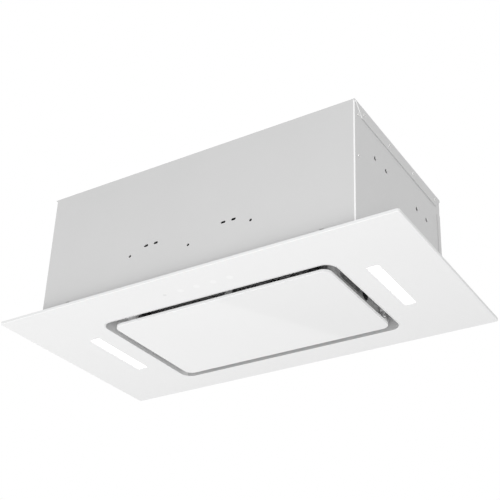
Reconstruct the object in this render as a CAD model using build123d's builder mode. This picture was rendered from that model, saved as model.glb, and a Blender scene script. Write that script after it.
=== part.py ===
"""Built-in range hood: a folded-steel box for a wall cabinet, closed from below by a glass panel.

Millimetres. X runs along the hood, the front is -Y and Z is up. The origin is the middle of the
hood's footprint, on the underside of the centre glass, which is the lowest face.
"""
from build123d import *
from math import asin, cos, degrees, hypot, radians, sin, sqrt
import os

os.makedirs("parts", exist_ok=True)

# Driving dimensions: glass
PANEL_W = 600.0
PANEL_D = 312.0
GLASS_T = 4.0
GLASS_R = 3.0
ARRIS = 0.4
PROUD = 1.5  # the centre glass stands this far below the outer glass

# Driving dimensions: sheet steel
SHEET = 1.0
GAP = 0.5  # between sheets that are put together
EASE = 0.3  # around a piece that drops into an opening

# Driving dimensions: casing
CASE_W = 478.0
CASE_FRONT = -142.5
CASE_BACK = 117.5
CASE_TOP = 191.0
BEND_R = 2.5

# Driving dimensions: recess, centre panel and its hinge
RECESS_W = 360.0
RECESS_D = 205.0
RECESS_Y = 12.0
RECESS_R = 17.0
RECESS_TOP = 36.0
SUCTION_GAP = 13.0
HINGE_Y = 93.0
HINGE_Z = 14.0
PIN_R = 2.5
RUNNING = 0.05  # radial play of a pin in its bore

# Driving dimensions: grease filter
FILTER_W = 316.0
FILTER_FRONT = -47.0
FILTER_BACK = 90.0
FILTER_BOTTOM = 15.0
FILTER_TOP = 34.0
FOIL = 0.8
LATCH_Y = 43.0
LATCH_Z = 24.5
LATCH_R = 7.6
LATCH_TRAVEL = 6.0
PLUG_L = 6.0
SPRING_ROOM = 3.0  # behind the pushed-in latch, for its closed spring

# Driving dimensions: lamps and touch fields
LAMP_X = 217.5
LAMP_Y = -1.0
LAMP_W = 15.8
LAMP_L = 111.0
LAMP_R = 1.0
TOUCH_Y = -118.0
TOUCH_PITCH = 25.0
TOUCH_COUNT = 5

# Driving dimensions: blower
BLOWER_Y = -26.5
SCROLL_R = 57.0
SCROLL_STEP = 8.0
SCROLL_RISE = 75.0
SCROLL_T = 1.5
SCROLL_HALF = 52.0
WHEEL_R = 51.0
WHEEL_HALF = 46.0
BLADE_COUNT = 30
BLADE_ROOT_R = 41.2
BLADE_TIP_R = 50.4
BLADE_T = 0.8
BLADE_LEAN = 4.2
BLADE_BOW = 1.55
SHAFT_R = 4.0

# Driving dimensions: outlet
COLLAR_R = 74.5
COLLAR_T = 2.0
COLLAR_TOP = CASE_TOP + 35.0
BLOWER_SQUARE = 176.0
COLLAR_Y = 14.0
FLAP_R = 71.3
FLAP_T = 1.2

# Heights and places that follow
GLASS_BACK = PROUD + GLASS_T
WALL_BOTTOM = GLASS_BACK + GAP
COVER_UNDER = CASE_TOP - SHEET
ROOF = RECESS_TOP - SHEET
HALF_CASE = CASE_W / 2
INNER_X = HALF_CASE - SHEET
CENTRE_W = RECESS_W - 2 * SUCTION_GAP
CENTRE_D = RECESS_D - 2 * SUCTION_GAP
CENTRE_R = 12.0
FILTER_Y = (FILTER_FRONT + FILTER_BACK) / 2
FILTER_D = FILTER_BACK - FILTER_FRONT
BLOWER_FLANGE = COVER_UNDER - SCROLL_T
BLOWER_Z = BLOWER_FLANGE - SCROLL_RISE


def write(piece, label):
    piece.part.label = label
    export_step(piece.part, f"parts/{label}.step")


def polar(centre, radius, angle):
    return (centre[0] + radius * cos(radians(angle)), centre[1] + radius * sin(radians(angle)))


# Outer glass: rounded plate with the recess cut-out and two lamp windows
with BuildPart() as outer_glass:
    with BuildSketch(Plane.XY.offset(PROUD)):
        RectangleRounded(PANEL_W, PANEL_D, GLASS_R)
        with Locations((0, RECESS_Y)):
            RectangleRounded(
                RECESS_W + 2 * EASE, RECESS_D + 2 * EASE, RECESS_R + EASE, mode=Mode.SUBTRACT
            )
        with Locations((-LAMP_X, LAMP_Y), (LAMP_X, LAMP_Y)):
            RectangleRounded(LAMP_W, LAMP_L, LAMP_R, mode=Mode.SUBTRACT)
    extrude(amount=GLASS_T)
    chamfer(faces().sort_by(Axis.Z)[0].edges(), ARRIS)
write(outer_glass, "outer_glass")

# Foam seal on the back of the outer glass, around the casing: it meets the cabinet's underside
SEAL_W = 6.0
SEAL_T = 2.0
SEAL_R = 4.0
SEAL_INNER_W = 486.0
SEAL_INNER_D = 268.0
SEAL_Y = (CASE_FRONT + CASE_BACK) / 2
with BuildPart() as rim_seal:
    with BuildSketch(Plane.XY.offset(GLASS_BACK)):
        with Locations((0, SEAL_Y)):
            RectangleRounded(SEAL_INNER_W + 2 * SEAL_W, SEAL_INNER_D + 2 * SEAL_W, SEAL_R)
            Rectangle(SEAL_INNER_W, SEAL_INNER_D, mode=Mode.SUBTRACT)
    extrude(amount=SEAL_T)
write(rim_seal, "rim_seal")

# Glass sub-frame: a tray of sheet steel bonded to the glass, which the casing stands over
SUB_X = INNER_X - GAP
SUB_FRONT = CASE_FRONT + SHEET + GAP
SUB_BACK = CASE_BACK - SHEET - GAP
SUB_D = SUB_BACK - SUB_FRONT
SUB_Y = (SUB_FRONT + SUB_BACK) / 2
SUB_TOP = 20.0
SUB_FACE = GLASS_BACK + SHEET
STUD_R = 2.0
STUD_TOP = 14.0
STUDS = [(x, y) for x in (-185.0, 185.0) for y in (-60.0, 60.0)] + [(-95.0, -95.5), (95.0, -95.5)]
LAMP_HOUSE_W = 22.0
LAMP_HOUSE_L = 120.0
TOUCH_COVER_W = 126.0
TOUCH_COVER_D = 18.0
CLIP_Z = 14.5
CLIP_X = 194.0
CLIP_SIDE_Y = (-130.0, 100.0)
CLIP_NOSE_W = 5.0
CLIP_NOSE_H = 3.0
with BuildPart() as glass_subframe:
    with BuildSketch(Plane.XY.offset(GLASS_BACK)):
        with Locations((0, SUB_Y)):
            Rectangle(2 * SUB_X, SUB_D)
        with Locations((0, RECESS_Y)):
            RectangleRounded(
                RECESS_W + 2 * EASE, RECESS_D + 2 * EASE, RECESS_R + EASE, mode=Mode.SUBTRACT
            )
        with Locations((-LAMP_X, LAMP_Y), (LAMP_X, LAMP_Y)):
            Rectangle(LAMP_HOUSE_W + 2 * EASE, LAMP_HOUSE_L + 2 * EASE, mode=Mode.SUBTRACT)
        with Locations((0, TOUCH_Y)):
            Rectangle(TOUCH_COVER_W + 2 * EASE, TOUCH_COVER_D + 2 * EASE, mode=Mode.SUBTRACT)
    extrude(amount=SHEET)
    with BuildSketch(Plane.XY.offset(GLASS_BACK)):
        with Locations((0, SUB_Y)):
            Rectangle(2 * SUB_X, SUB_D)
            Rectangle(2 * (SUB_X - SHEET), SUB_D - 2 * SHEET, mode=Mode.SUBTRACT)
    extrude(amount=SUB_TOP - GLASS_BACK)
    with BuildSketch(Plane.XY.offset(SUB_FACE)):
        with Locations(*STUDS):
            Circle(STUD_R)
    extrude(amount=STUD_TOP - SUB_FACE)
    with BuildSketch(Plane.XZ):
        with Locations((-CLIP_X, CLIP_Z), (CLIP_X, CLIP_Z)):
            Rectangle(CLIP_NOSE_W + 2 * EASE, CLIP_NOSE_H + 2 * EASE)
    extrude(amount=PANEL_D / 2, both=True, mode=Mode.SUBTRACT)
    with BuildSketch(Plane.YZ):
        with Locations(*[(y, CLIP_Z) for y in CLIP_SIDE_Y]):
            Rectangle(CLIP_NOSE_W + 2 * EASE, CLIP_NOSE_H + 2 * EASE)
    extrude(amount=PANEL_W / 2, both=True, mode=Mode.SUBTRACT)
write(glass_subframe, "glass_subframe")

# Spring clips: a leaf on the inner face of the sub-frame and a nose that snaps through the wall
CLIP_LEAF_W = 14.0
CLIP_LEAF_T = 0.8
CLIP_LEAF_DOWN = 7.5
CLIP_LEAF_UP = 3.0
CLIP_SNAP = 1.2  # how far the nose stands out of the wall
CLIP_REACH = 2 * SHEET + GAP + CLIP_SNAP
clip_places = [(x, SUB_FRONT + SHEET, (0, -1, 0)) for x in (-CLIP_X, CLIP_X)]
clip_places += [(x, SUB_BACK - SHEET, (0, 1, 0)) for x in (-CLIP_X, CLIP_X)]
clip_places += [(-SUB_X + SHEET, y, (-1, 0, 0)) for y in CLIP_SIDE_Y]
clip_places += [(SUB_X - SHEET, y, (1, 0, 0)) for y in CLIP_SIDE_Y]
with BuildPart() as glass_clips:
    for x, y, out in clip_places:
        profile_plane = Plane(origin=(x, y, CLIP_Z), x_dir=out, z_dir=(out[1], -out[0], 0))
        with BuildSketch(profile_plane):
            Polygon((-CLIP_LEAF_T, -CLIP_LEAF_DOWN), (0, -CLIP_LEAF_DOWN), (0, CLIP_LEAF_UP),
                    (-CLIP_LEAF_T, CLIP_LEAF_UP), align=None)
        extrude(amount=CLIP_LEAF_W / 2, both=True)
        with BuildSketch(profile_plane):
            low, high = -CLIP_NOSE_H / 2, CLIP_NOSE_H / 2
            Polygon((-CLIP_LEAF_T, low), (0, low), (CLIP_REACH, low + CLIP_NOSE_H / 8), (CLIP_REACH, 0),
                    (CLIP_REACH - CLIP_SNAP, high), (-CLIP_LEAF_T, high), align=None)
        extrude(amount=CLIP_NOSE_W / 2, both=True)
write(glass_clips, "glass_clips")

# Recess tray: a deep steel dish let into the glass, with the air opening in its roof
TRAY_FLANGE = 10.0
TRAY_FLANGE_BACK = 95.0
AIR_W = 290.0
AIR_D = 118.0
AIR_R = 4.0
DISH_R = 6.0
with BuildPart() as recess_tray:
    with BuildSketch(Plane.XY.offset(PROUD)):
        with Locations((0, RECESS_Y)):
            RectangleRounded(RECESS_W, RECESS_D, RECESS_R)
    extrude(amount=RECESS_TOP - PROUD)
    fillet(faces().sort_by(Axis.Z)[-1].edges(), DISH_R)
    offset(amount=-SHEET, openings=faces().sort_by(Axis.Z)[0])
    with BuildSketch(Plane.XY.offset(RECESS_TOP)):
        with Locations((0, FILTER_Y)):
            RectangleRounded(AIR_W, AIR_D, AIR_R)
    extrude(amount=-2 * SHEET, mode=Mode.SUBTRACT)
    with BuildSketch(Plane.XY.offset(SUB_FACE)):
        flange_front = RECESS_Y - RECESS_D / 2 - TRAY_FLANGE
        with Locations((0, (flange_front + TRAY_FLANGE_BACK) / 2)):
            Rectangle(RECESS_W + 2 * TRAY_FLANGE, TRAY_FLANGE_BACK - flange_front)
        with Locations((0, RECESS_Y)):
            RectangleRounded(RECESS_W - SHEET, RECESS_D - SHEET, RECESS_R - SHEET / 2,
                             mode=Mode.SUBTRACT)
        with Locations(*STUDS):
            Circle(STUD_R + EASE, mode=Mode.SUBTRACT)
    extrude(amount=SHEET)
write(recess_tray, "recess_tray")

# Nuts that hold the tray's flange down on the sub-frame's studs
NUT_ACROSS = 7.0
NUT_H = 3.2
with BuildPart() as tray_nuts:
    with BuildSketch(Plane.XY.offset(SUB_FACE + SHEET)):
        with Locations(*STUDS):
            RegularPolygon(NUT_ACROSS / 2, 6, major_radius=False)
            Circle(STUD_R, mode=Mode.SUBTRACT)
    extrude(amount=NUT_H)
write(tray_nuts, "tray_nuts")

# Places of holes and rivets in the casing walls
ROUND_HOLE_R = 2.0
FRONT_SCREW_X = 93.7
FRONT_SCREW_Z = 59.0
FRONT_MIDDLE_Z = 50.0
SLOT_X = (52.5, 68.0)
SLOT_Z = 68.0
SLOT_L = 7.0
SLOT_W = 3.6
SIDE_HOLE_R = 3.1
SIDE_HOLE_PITCH = 31.5
SIDE_HOLE_PAIRS = ((-71.0, 135.7), (53.8, 131.5))
side_holes = [
    (y + s * SIDE_HOLE_PITCH / 2, z) for y, z in SIDE_HOLE_PAIRS for s in (-1, 1)
]
RIVET_R = 1.5
RIVET_HOLE_R = 1.55
RIVET_HEAD_R = 2.4
RIVET_HEAD_H = 0.8
RIVET_TAPER = 25.0
RIVET_REACH = 3.5
COVER_RIVET_Z = 181.5
cover_rivets = [(y, COVER_RIVET_Z) for y in (-117.0, -44.5, 28.0, 100.5)]
CORNER_RIVET_Y = -131.5
corner_rivets = [(CORNER_RIVET_Y, z) for z in (173.5, 111.7)]
BACK_RIVET_X = (-180.0, -60.0, 60.0, 180.0)
CLIP_SLOT = (CLIP_NOSE_W + 2 * EASE, CLIP_NOSE_H + 2 * EASE)

# Casing wrap: front and both sides in one folded sheet, with a turned-in top flange
WRAP_END = CASE_BACK - SHEET - 0.2
WRAP_FLANGE = 12.0
WRAP_FLANGE_Y = -8.0
WRAP_FLANGE_L = 238.0
WRAP_NOTCH = 3.0
with BuildPart() as casing_wrap:
    with BuildSketch(Plane.XY.offset(WALL_BOTTOM)):
        wrap_depth = CASE_BACK - CASE_FRONT + 4 * BEND_R
        with Locations((0, CASE_FRONT + wrap_depth / 2)):
            RectangleRounded(CASE_W, wrap_depth, BEND_R)
            RectangleRounded(CASE_W - 2 * SHEET, wrap_depth - 2 * SHEET, BEND_R - SHEET,
                             mode=Mode.SUBTRACT)
        with Locations((0, WRAP_END + 2 * WRAP_FLANGE)):
            Rectangle(CASE_W, 4 * WRAP_FLANGE, mode=Mode.SUBTRACT)
    extrude(amount=COVER_UNDER - WALL_BOTTOM)
    with BuildSketch(Plane.XY.offset(COVER_UNDER - SHEET)):
        with Locations((0, CASE_FRONT + (WRAP_FLANGE + SHEET) / 2)):
            Rectangle(CASE_W - 2 * WRAP_FLANGE - 2 * WRAP_NOTCH, WRAP_FLANGE)
        for side in (-1, 1):
            with Locations((side * (HALF_CASE - (WRAP_FLANGE + SHEET) / 2), WRAP_FLANGE_Y)):
                Rectangle(WRAP_FLANGE, WRAP_FLANGE_L)
    extrude(amount=SHEET)
    with BuildSketch(Plane.XZ.offset(-CASE_FRONT + SHEET)):
        with Locations((-FRONT_SCREW_X, FRONT_SCREW_Z), (FRONT_SCREW_X, FRONT_SCREW_Z),
                       (0, FRONT_MIDDLE_Z)):
            Circle(ROUND_HOLE_R)
        with Locations(*[(s * x, SLOT_Z) for x in SLOT_X for s in (-1, 1)]):
            SlotOverall(SLOT_L, SLOT_W)
        with Locations((-CLIP_X, CLIP_Z), (CLIP_X, CLIP_Z)):
            Rectangle(*CLIP_SLOT)
    extrude(amount=-4 * SHEET, mode=Mode.SUBTRACT)
    with BuildSketch(Plane.YZ):
        with Locations(*side_holes):
            Circle(SIDE_HOLE_R)
        with Locations(*cover_rivets, *corner_rivets):
            Circle(RIVET_HOLE_R)
        with Locations(*[(y, CLIP_Z) for y in CLIP_SIDE_Y]):
            Rectangle(*CLIP_SLOT)
    extrude(amount=CASE_W, both=True, mode=Mode.SUBTRACT)
write(casing_wrap, "casing_wrap")

# Rear wall: a plate with two forward flanges that lap the ends of the wrap
LAP_FRONT = 108.0
LAP_TOP = 162.5
BACK_R = 1.5
LAP_DEPTH = 40.0
with BuildPart() as rear_wall:
    with BuildSketch(Plane.XY.offset(WALL_BOTTOM)):
        with Locations((0, CASE_BACK - LAP_DEPTH / 2)):
            RectangleRounded(CASE_W + 2 * SHEET, LAP_DEPTH, BACK_R)
            Rectangle(CASE_W, LAP_DEPTH - 2 * SHEET, mode=Mode.SUBTRACT)
        with Locations((0, LAP_FRONT - LAP_DEPTH / 2)):
            Rectangle(CASE_W + 4 * SHEET, LAP_DEPTH, mode=Mode.SUBTRACT)
    extrude(amount=LAP_TOP - WALL_BOTTOM)
    with BuildSketch(Plane.XY.offset(LAP_TOP)):
        with Locations((0, CASE_BACK - SHEET / 2)):
            Rectangle(CASE_W, SHEET)
    extrude(amount=COVER_UNDER - GAP - LAP_TOP)
    with BuildSketch(Plane.XZ.offset(-CASE_BACK - SHEET)):
        with Locations(*[(x, COVER_RIVET_Z) for x in BACK_RIVET_X]):
            Circle(RIVET_HOLE_R)
        with Locations((-CLIP_X, CLIP_Z), (CLIP_X, CLIP_Z)):
            Rectangle(*CLIP_SLOT)
    extrude(amount=4 * SHEET, mode=Mode.SUBTRACT)
write(rear_wall, "rear_wall")

# Top cover: a plate with mitred side flanges and a rear flange, and the air opening
FLANGE_BOTTOM = 173.0
FLANGE_START = 2.5  # from the front edge to the flange's mitre
FLANGE_REAR_CUT = 14.0
FOLD_R = 0.9
BLOW_W = 101.0
BLOW_D = 77.0
BLOW_R = 3.0
GLAND = (175.0, -95.0)
GLAND_THREAD_R = 6.0
GLAND_PLAY = 0.1
SCREW_R = 1.9
SCREW_HOLE_R = 2.05
COLLAR_SCREW_RING = 79.6
collar_screw_spots = [
    polar((0, COLLAR_Y), COLLAR_SCREW_RING, angle) for angle in (45.0, 135.0, 225.0, 315.0)
]
COVER_BACK = CASE_BACK + SHEET
with BuildPart() as top_cover:
    with BuildSketch(Plane.XY.offset(COVER_UNDER)):
        with Locations((0, (CASE_FRONT + COVER_BACK) / 2)):
            Rectangle(CASE_W + 2 * SHEET, COVER_BACK - CASE_FRONT)
    extrude(amount=SHEET)
    for side in (-1, 1):
        with BuildSketch(Plane.YZ.offset(side * HALF_CASE)):
            mitre = COVER_UNDER - FLANGE_BOTTOM
            start = CASE_FRONT + FLANGE_START
            Polygon((start, COVER_UNDER), (start + mitre, FLANGE_BOTTOM),
                    (COVER_BACK - FLANGE_REAR_CUT, FLANGE_BOTTOM),
                    (COVER_BACK, FLANGE_BOTTOM + FLANGE_REAR_CUT),
                    (COVER_BACK, COVER_UNDER), align=None)
        extrude(amount=side * SHEET)
    with BuildSketch(Plane.XY.offset(FLANGE_BOTTOM)):
        with Locations((0, COVER_BACK - SHEET / 2)):
            Rectangle(CASE_W - 2 * EASE, SHEET)
    extrude(amount=COVER_UNDER - FLANGE_BOTTOM)
    fold_edges = faces().sort_by(Axis.Z)[-1].edges().filter_by(Axis.Y)
    fillet(fold_edges, FOLD_R)
    with BuildSketch(Plane.XY.offset(CASE_TOP)):
        with Locations((0, COLLAR_Y)):
            RectangleRounded(BLOW_W, BLOW_D, BLOW_R)
        with Locations(GLAND):
            Circle(GLAND_THREAD_R + GLAND_PLAY)
        with Locations(*collar_screw_spots):
            Circle(SCREW_HOLE_R)
    extrude(amount=-2 * SHEET, mode=Mode.SUBTRACT)
    with BuildSketch(Plane.YZ):
        with Locations(*cover_rivets):
            Circle(RIVET_HOLE_R)
    extrude(amount=CASE_W, both=True, mode=Mode.SUBTRACT)
    with BuildSketch(Plane.XZ.offset(-COVER_BACK - SHEET)):
        with Locations(*[(x, COVER_RIVET_Z) for x in BACK_RIVET_X]):
            Circle(RIVET_HOLE_R)
    extrude(amount=4 * SHEET, mode=Mode.SUBTRACT)
write(top_cover, "top_cover")

# Blind rivets: cover to walls, and the front corner angles to the wrap
rivet_planes = []
for side in (-1, 1):
    for y, z in cover_rivets:
        rivet_planes.append(Plane(origin=(side * (HALF_CASE + SHEET), y, z), z_dir=(side, 0, 0)))
    for y, z in corner_rivets:
        rivet_planes.append(Plane(origin=(side * HALF_CASE, y, z), z_dir=(side, 0, 0)))
for x in BACK_RIVET_X:
    rivet_planes.append(Plane(origin=(x, COVER_BACK, COVER_RIVET_Z), z_dir=(0, 1, 0)))
with BuildPart() as casing_rivets:
    for rivet_plane in rivet_planes:
        with BuildSketch(rivet_plane):
            Circle(RIVET_HEAD_R)
        extrude(amount=RIVET_HEAD_H, taper=RIVET_TAPER)
        with BuildSketch(rivet_plane):
            Circle(RIVET_R)
        extrude(amount=-RIVET_REACH)
write(casing_rivets, "casing_rivets")

# Corner angles inside the two front bends
ANGLE_LEG = 15.0
ANGLE_BOTTOM = 22.0
ANGLE_TOP = 186.0
with BuildPart() as corner_angles:
    for side in (-1, 1):
        corner = (side * INNER_X, CASE_FRONT + SHEET)
        with BuildSketch(Plane.XY.offset(ANGLE_BOTTOM)):
            with Locations((corner[0] - side * ANGLE_LEG / 2, corner[1] + ANGLE_LEG / 2)):
                Rectangle(ANGLE_LEG, ANGLE_LEG)
            with Locations((corner[0] - side * (ANGLE_LEG / 2 + SHEET),
                            corner[1] + ANGLE_LEG / 2 + SHEET)):
                Rectangle(ANGLE_LEG, ANGLE_LEG, mode=Mode.SUBTRACT)
        extrude(amount=ANGLE_TOP - ANGLE_BOTTOM)
        upright = edges().filter_by(Axis.Z)
        bend = upright.sort_by_distance((corner[0], corner[1], (ANGLE_BOTTOM + ANGLE_TOP) / 2))[0]
        fillet(bend, BEND_R - GAP)
    with BuildSketch(Plane.YZ):
        with Locations(*corner_rivets):
            Circle(RIVET_HOLE_R)
    extrude(amount=CASE_W, both=True, mode=Mode.SUBTRACT)
write(corner_angles, "corner_angles")

# Lamps: a housing on the back of the glass, a board with eight light chips, a diffuser in the window
HOUSE_H = 14.0
HOUSE_WALL = 1.5
HOUSE_R = 2.0
HOUSE_POST_Y = 50.0
HOUSE_POST_R = 2.0
LEAD_HOLE_Y = 20.0
LEAD_HOLE_R = 2.5
BOARD_T = 1.2
BOARD_Z = 14.0
CHIP_COUNT = 8
CHIP_PITCH = 13.0
CHIP_SIZE = 3.0
CHIP_H = 0.8
DIFFUSER_PLAY = 0.2
DIFFUSER_SET_BACK = 0.1
DIFFUSER_FLANGE_T = 1.5
HOUSE_INSIDE = (LAMP_HOUSE_W - 2 * HOUSE_WALL, LAMP_HOUSE_L - 2 * HOUSE_WALL)
for name, side in (("left", -1), ("right", 1)):
    lamp_x = side * LAMP_X
    with BuildPart() as lamp_housing:
        with BuildSketch(Plane.XY.offset(GLASS_BACK)):
            with Locations((lamp_x, LAMP_Y)):
                RectangleRounded(LAMP_HOUSE_W, LAMP_HOUSE_L, HOUSE_R)
        extrude(amount=HOUSE_H)
        with BuildSketch(Plane.XY.offset(GLASS_BACK)):
            with Locations((lamp_x, LAMP_Y)):
                Rectangle(*HOUSE_INSIDE)
        extrude(amount=HOUSE_H - HOUSE_WALL, mode=Mode.SUBTRACT)
        with BuildSketch(Plane.XY.offset(BOARD_Z + BOARD_T)):
            with Locations((lamp_x, LAMP_Y - HOUSE_POST_Y), (lamp_x, LAMP_Y + HOUSE_POST_Y)):
                Circle(HOUSE_POST_R)
        extrude(amount=GLASS_BACK + HOUSE_H - HOUSE_WALL - BOARD_Z - BOARD_T)
        with BuildSketch(Plane.XY.offset(GLASS_BACK + HOUSE_H)):
            with Locations((lamp_x, LAMP_Y + LEAD_HOLE_Y)):
                Circle(LEAD_HOLE_R)
        extrude(amount=-2 * HOUSE_WALL, mode=Mode.SUBTRACT)
    write(lamp_housing, f"lamp_housing_{name}")

    with BuildPart() as lamp_diffuser:
        with BuildSketch(Plane.XY.offset(PROUD + DIFFUSER_SET_BACK)):
            with Locations((lamp_x, LAMP_Y)):
                RectangleRounded(LAMP_W - 2 * DIFFUSER_PLAY, LAMP_L - 2 * DIFFUSER_PLAY,
                                 LAMP_R - DIFFUSER_PLAY)
        extrude(amount=GLASS_T - DIFFUSER_SET_BACK)
        with BuildSketch(Plane.XY.offset(GLASS_BACK)):
            with Locations((lamp_x, LAMP_Y)):
                RectangleRounded(HOUSE_INSIDE[0] - EASE, HOUSE_INSIDE[1] - EASE, LAMP_R)
        extrude(amount=DIFFUSER_FLANGE_T)
    write(lamp_diffuser, f"lamp_diffuser_{name}")

with BuildPart() as lamp_boards:
    for side in (-1, 1):
        with BuildSketch(Plane.XY.offset(BOARD_Z)):
            with Locations((side * LAMP_X, LAMP_Y)):
                Rectangle(HOUSE_INSIDE[0] - EASE, HOUSE_INSIDE[1] - EASE)
        extrude(amount=BOARD_T)
        with BuildSketch(Plane.XY.offset(BOARD_Z)):
            with Locations((side * LAMP_X, LAMP_Y)):
                with GridLocations(1, CHIP_PITCH, 1, CHIP_COUNT):
                    Rectangle(CHIP_SIZE, CHIP_SIZE)
        extrude(amount=-CHIP_H)
write(lamp_boards, "lamp_boards")

# Touch electronics: sensor sleeves on the glass, a board on them, and a cover
TOUCH_PAD_R = 4.0
TOUCH_PAD_BORE_R = 3.2
TOUCH_BOARD_Z = 12.0
TOUCH_BOARD_W = 120.0
TOUCH_BOARD_D = 14.0
TOUCH_BOARD_T = 1.6
TOUCH_CHIP_X = 20.0
TOUCH_CHIP = (12.0, 6.0)
TOUCH_CHIP_H = 1.8
TOUCH_COVER_H = 12.0
TOUCH_COVER_R = 2.0
TOUCH_POST_X = 55.0
TOUCH_POST_R = 2.5
touch_spots = [
    ((n - (TOUCH_COUNT - 1) / 2) * TOUCH_PITCH, TOUCH_Y) for n in range(TOUCH_COUNT)
]
with BuildPart() as touch_pads:
    with BuildSketch(Plane.XY.offset(GLASS_BACK)):
        with Locations(*touch_spots):
            Circle(TOUCH_PAD_R)
            Circle(TOUCH_PAD_BORE_R, mode=Mode.SUBTRACT)
    extrude(amount=TOUCH_BOARD_Z - GLASS_BACK)
write(touch_pads, "touch_pads")

with BuildPart() as touch_board:
    with BuildSketch(Plane.XY.offset(TOUCH_BOARD_Z)):
        with Locations((0, TOUCH_Y)):
            Rectangle(TOUCH_BOARD_W, TOUCH_BOARD_D)
    extrude(amount=TOUCH_BOARD_T)
    with BuildSketch(Plane.XY.offset(TOUCH_BOARD_Z + TOUCH_BOARD_T)):
        with Locations((TOUCH_CHIP_X, TOUCH_Y)):
            Rectangle(*TOUCH_CHIP)
    extrude(amount=TOUCH_CHIP_H)
write(touch_board, "touch_board")

with BuildPart() as touch_cover:
    with BuildSketch(Plane.XY.offset(GLASS_BACK)):
        with Locations((0, TOUCH_Y)):
            RectangleRounded(TOUCH_COVER_W, TOUCH_COVER_D, TOUCH_COVER_R)
    extrude(amount=TOUCH_COVER_H)
    with BuildSketch(Plane.XY.offset(GLASS_BACK)):
        with Locations((0, TOUCH_Y)):
            Rectangle(TOUCH_COVER_W - 2 * HOUSE_WALL, TOUCH_COVER_D - 2 * HOUSE_WALL)
    extrude(amount=TOUCH_COVER_H - HOUSE_WALL, mode=Mode.SUBTRACT)
    with BuildSketch(Plane.XY.offset(TOUCH_BOARD_Z + TOUCH_BOARD_T)):
        with Locations((-TOUCH_POST_X, TOUCH_Y), (TOUCH_POST_X, TOUCH_Y)):
            Circle(TOUCH_POST_R)
    extrude(until=Until.NEXT)
write(touch_cover, "touch_cover")

# Control box under the cover, with its lid, board and terminal block
BOX_X = 176.0
BOX_Y = -5.0
BOX_W = 92.0
BOX_D = 110.0
BOX_H = 36.0
BOX_WALL = 2.0
BOX_R = 3.0
BOX_INNER_R = 1.0
BOX_POSTS = (74.0, 92.0)
BOX_POST_R = 3.0
LEAD_ENTRY_Z = 182.0
LEAD_ENTRY_R = 5.0
LID_LIP = 3.0
CONTROL_BOARD_Z = 175.0
CONTROL_BOARD_GAP = 2.0
RELAYS = ((-18.0, 20.0), (6.0, 20.0))
RELAY = (16.0, 20.0)
RELAY_H = 15.0
with BuildPart() as control_box:
    with BuildSketch(Plane.XY.offset(COVER_UNDER - BOX_H)):
        with Locations((BOX_X, BOX_Y)):
            RectangleRounded(BOX_W, BOX_D, BOX_R)
    extrude(amount=BOX_H)
    with BuildSketch(Plane.XY.offset(COVER_UNDER - BOX_H)):
        with Locations((BOX_X, BOX_Y)):
            RectangleRounded(BOX_W - 2 * BOX_WALL, BOX_D - 2 * BOX_WALL, BOX_INNER_R)
    extrude(amount=BOX_H - BOX_WALL, mode=Mode.SUBTRACT)
    with BuildSketch(Plane.XY.offset(CONTROL_BOARD_Z + TOUCH_BOARD_T)):
        with Locations((BOX_X, BOX_Y)):
            with GridLocations(*BOX_POSTS, 2, 2):
                Circle(BOX_POST_R)
    extrude(amount=COVER_UNDER - BOX_WALL - CONTROL_BOARD_Z - TOUCH_BOARD_T)
    with BuildSketch(Plane.XZ.offset(-(BOX_Y - BOX_D / 2) + SHEET)):
        with Locations((GLAND[0], LEAD_ENTRY_Z)):
            Circle(LEAD_ENTRY_R)
    extrude(amount=-4 * SHEET, mode=Mode.SUBTRACT)
write(control_box, "control_box")

with BuildPart() as control_box_lid:
    with BuildSketch(Plane.XY.offset(COVER_UNDER - BOX_H)):
        with Locations((BOX_X, BOX_Y)):
            RectangleRounded(BOX_W, BOX_D, BOX_R)
    extrude(amount=-BOX_WALL)
    with BuildSketch(Plane.XY.offset(COVER_UNDER - BOX_H)):
        with Locations((BOX_X, BOX_Y)):
            RectangleRounded(
                BOX_W - 2 * BOX_WALL - EASE, BOX_D - 2 * BOX_WALL - EASE, BOX_INNER_R
            )
            Rectangle(BOX_W - 4 * BOX_WALL, BOX_D - 4 * BOX_WALL, mode=Mode.SUBTRACT)
    extrude(amount=LID_LIP)
write(control_box_lid, "control_box_lid")

with BuildPart() as control_board:
    board_inset = 2 * (BOX_WALL + CONTROL_BOARD_GAP)
    with BuildSketch(Plane.XY.offset(CONTROL_BOARD_Z)):
        with Locations((BOX_X, BOX_Y)):
            Rectangle(BOX_W - board_inset, BOX_D - board_inset)
    extrude(amount=TOUCH_BOARD_T)
    with BuildSketch(Plane.XY.offset(CONTROL_BOARD_Z)):
        with Locations(*[(BOX_X + x, BOX_Y + y) for x, y in RELAYS]):
            Rectangle(*RELAY)
    extrude(amount=-RELAY_H)
write(control_board, "control_board")

# Terminal block: its wire ways open towards the lead's entry
TERMINAL_Y = -38.0
TERMINAL = (40.0, 16.0)
TERMINAL_H = 14.0
TERMINAL_COUNT = 4
TERMINAL_PITCH = 10.0
WIRE_WAY_R = 2.2
WIRE_WAY_DEPTH = 10.0
WIRE_WAY_DROP = 9.0
terminal_front = BOX_Y + TERMINAL_Y - TERMINAL[1] / 2
wire_ways = [
    (BOX_X + TERMINAL_PITCH * (n - (TERMINAL_COUNT - 1) / 2), CONTROL_BOARD_Z - WIRE_WAY_DROP)
    for n in range(TERMINAL_COUNT)
]
with BuildPart() as terminal_block:
    with BuildSketch(Plane.XY.offset(CONTROL_BOARD_Z)):
        with Locations((BOX_X, BOX_Y + TERMINAL_Y)):
            Rectangle(*TERMINAL)
    extrude(amount=-TERMINAL_H)
    with BuildSketch(Plane.XZ.offset(-terminal_front)):
        with Locations(*wire_ways):
            Circle(WIRE_WAY_R)
    extrude(amount=-WIRE_WAY_DEPTH, mode=Mode.SUBTRACT)
write(terminal_block, "terminal_block")

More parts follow.
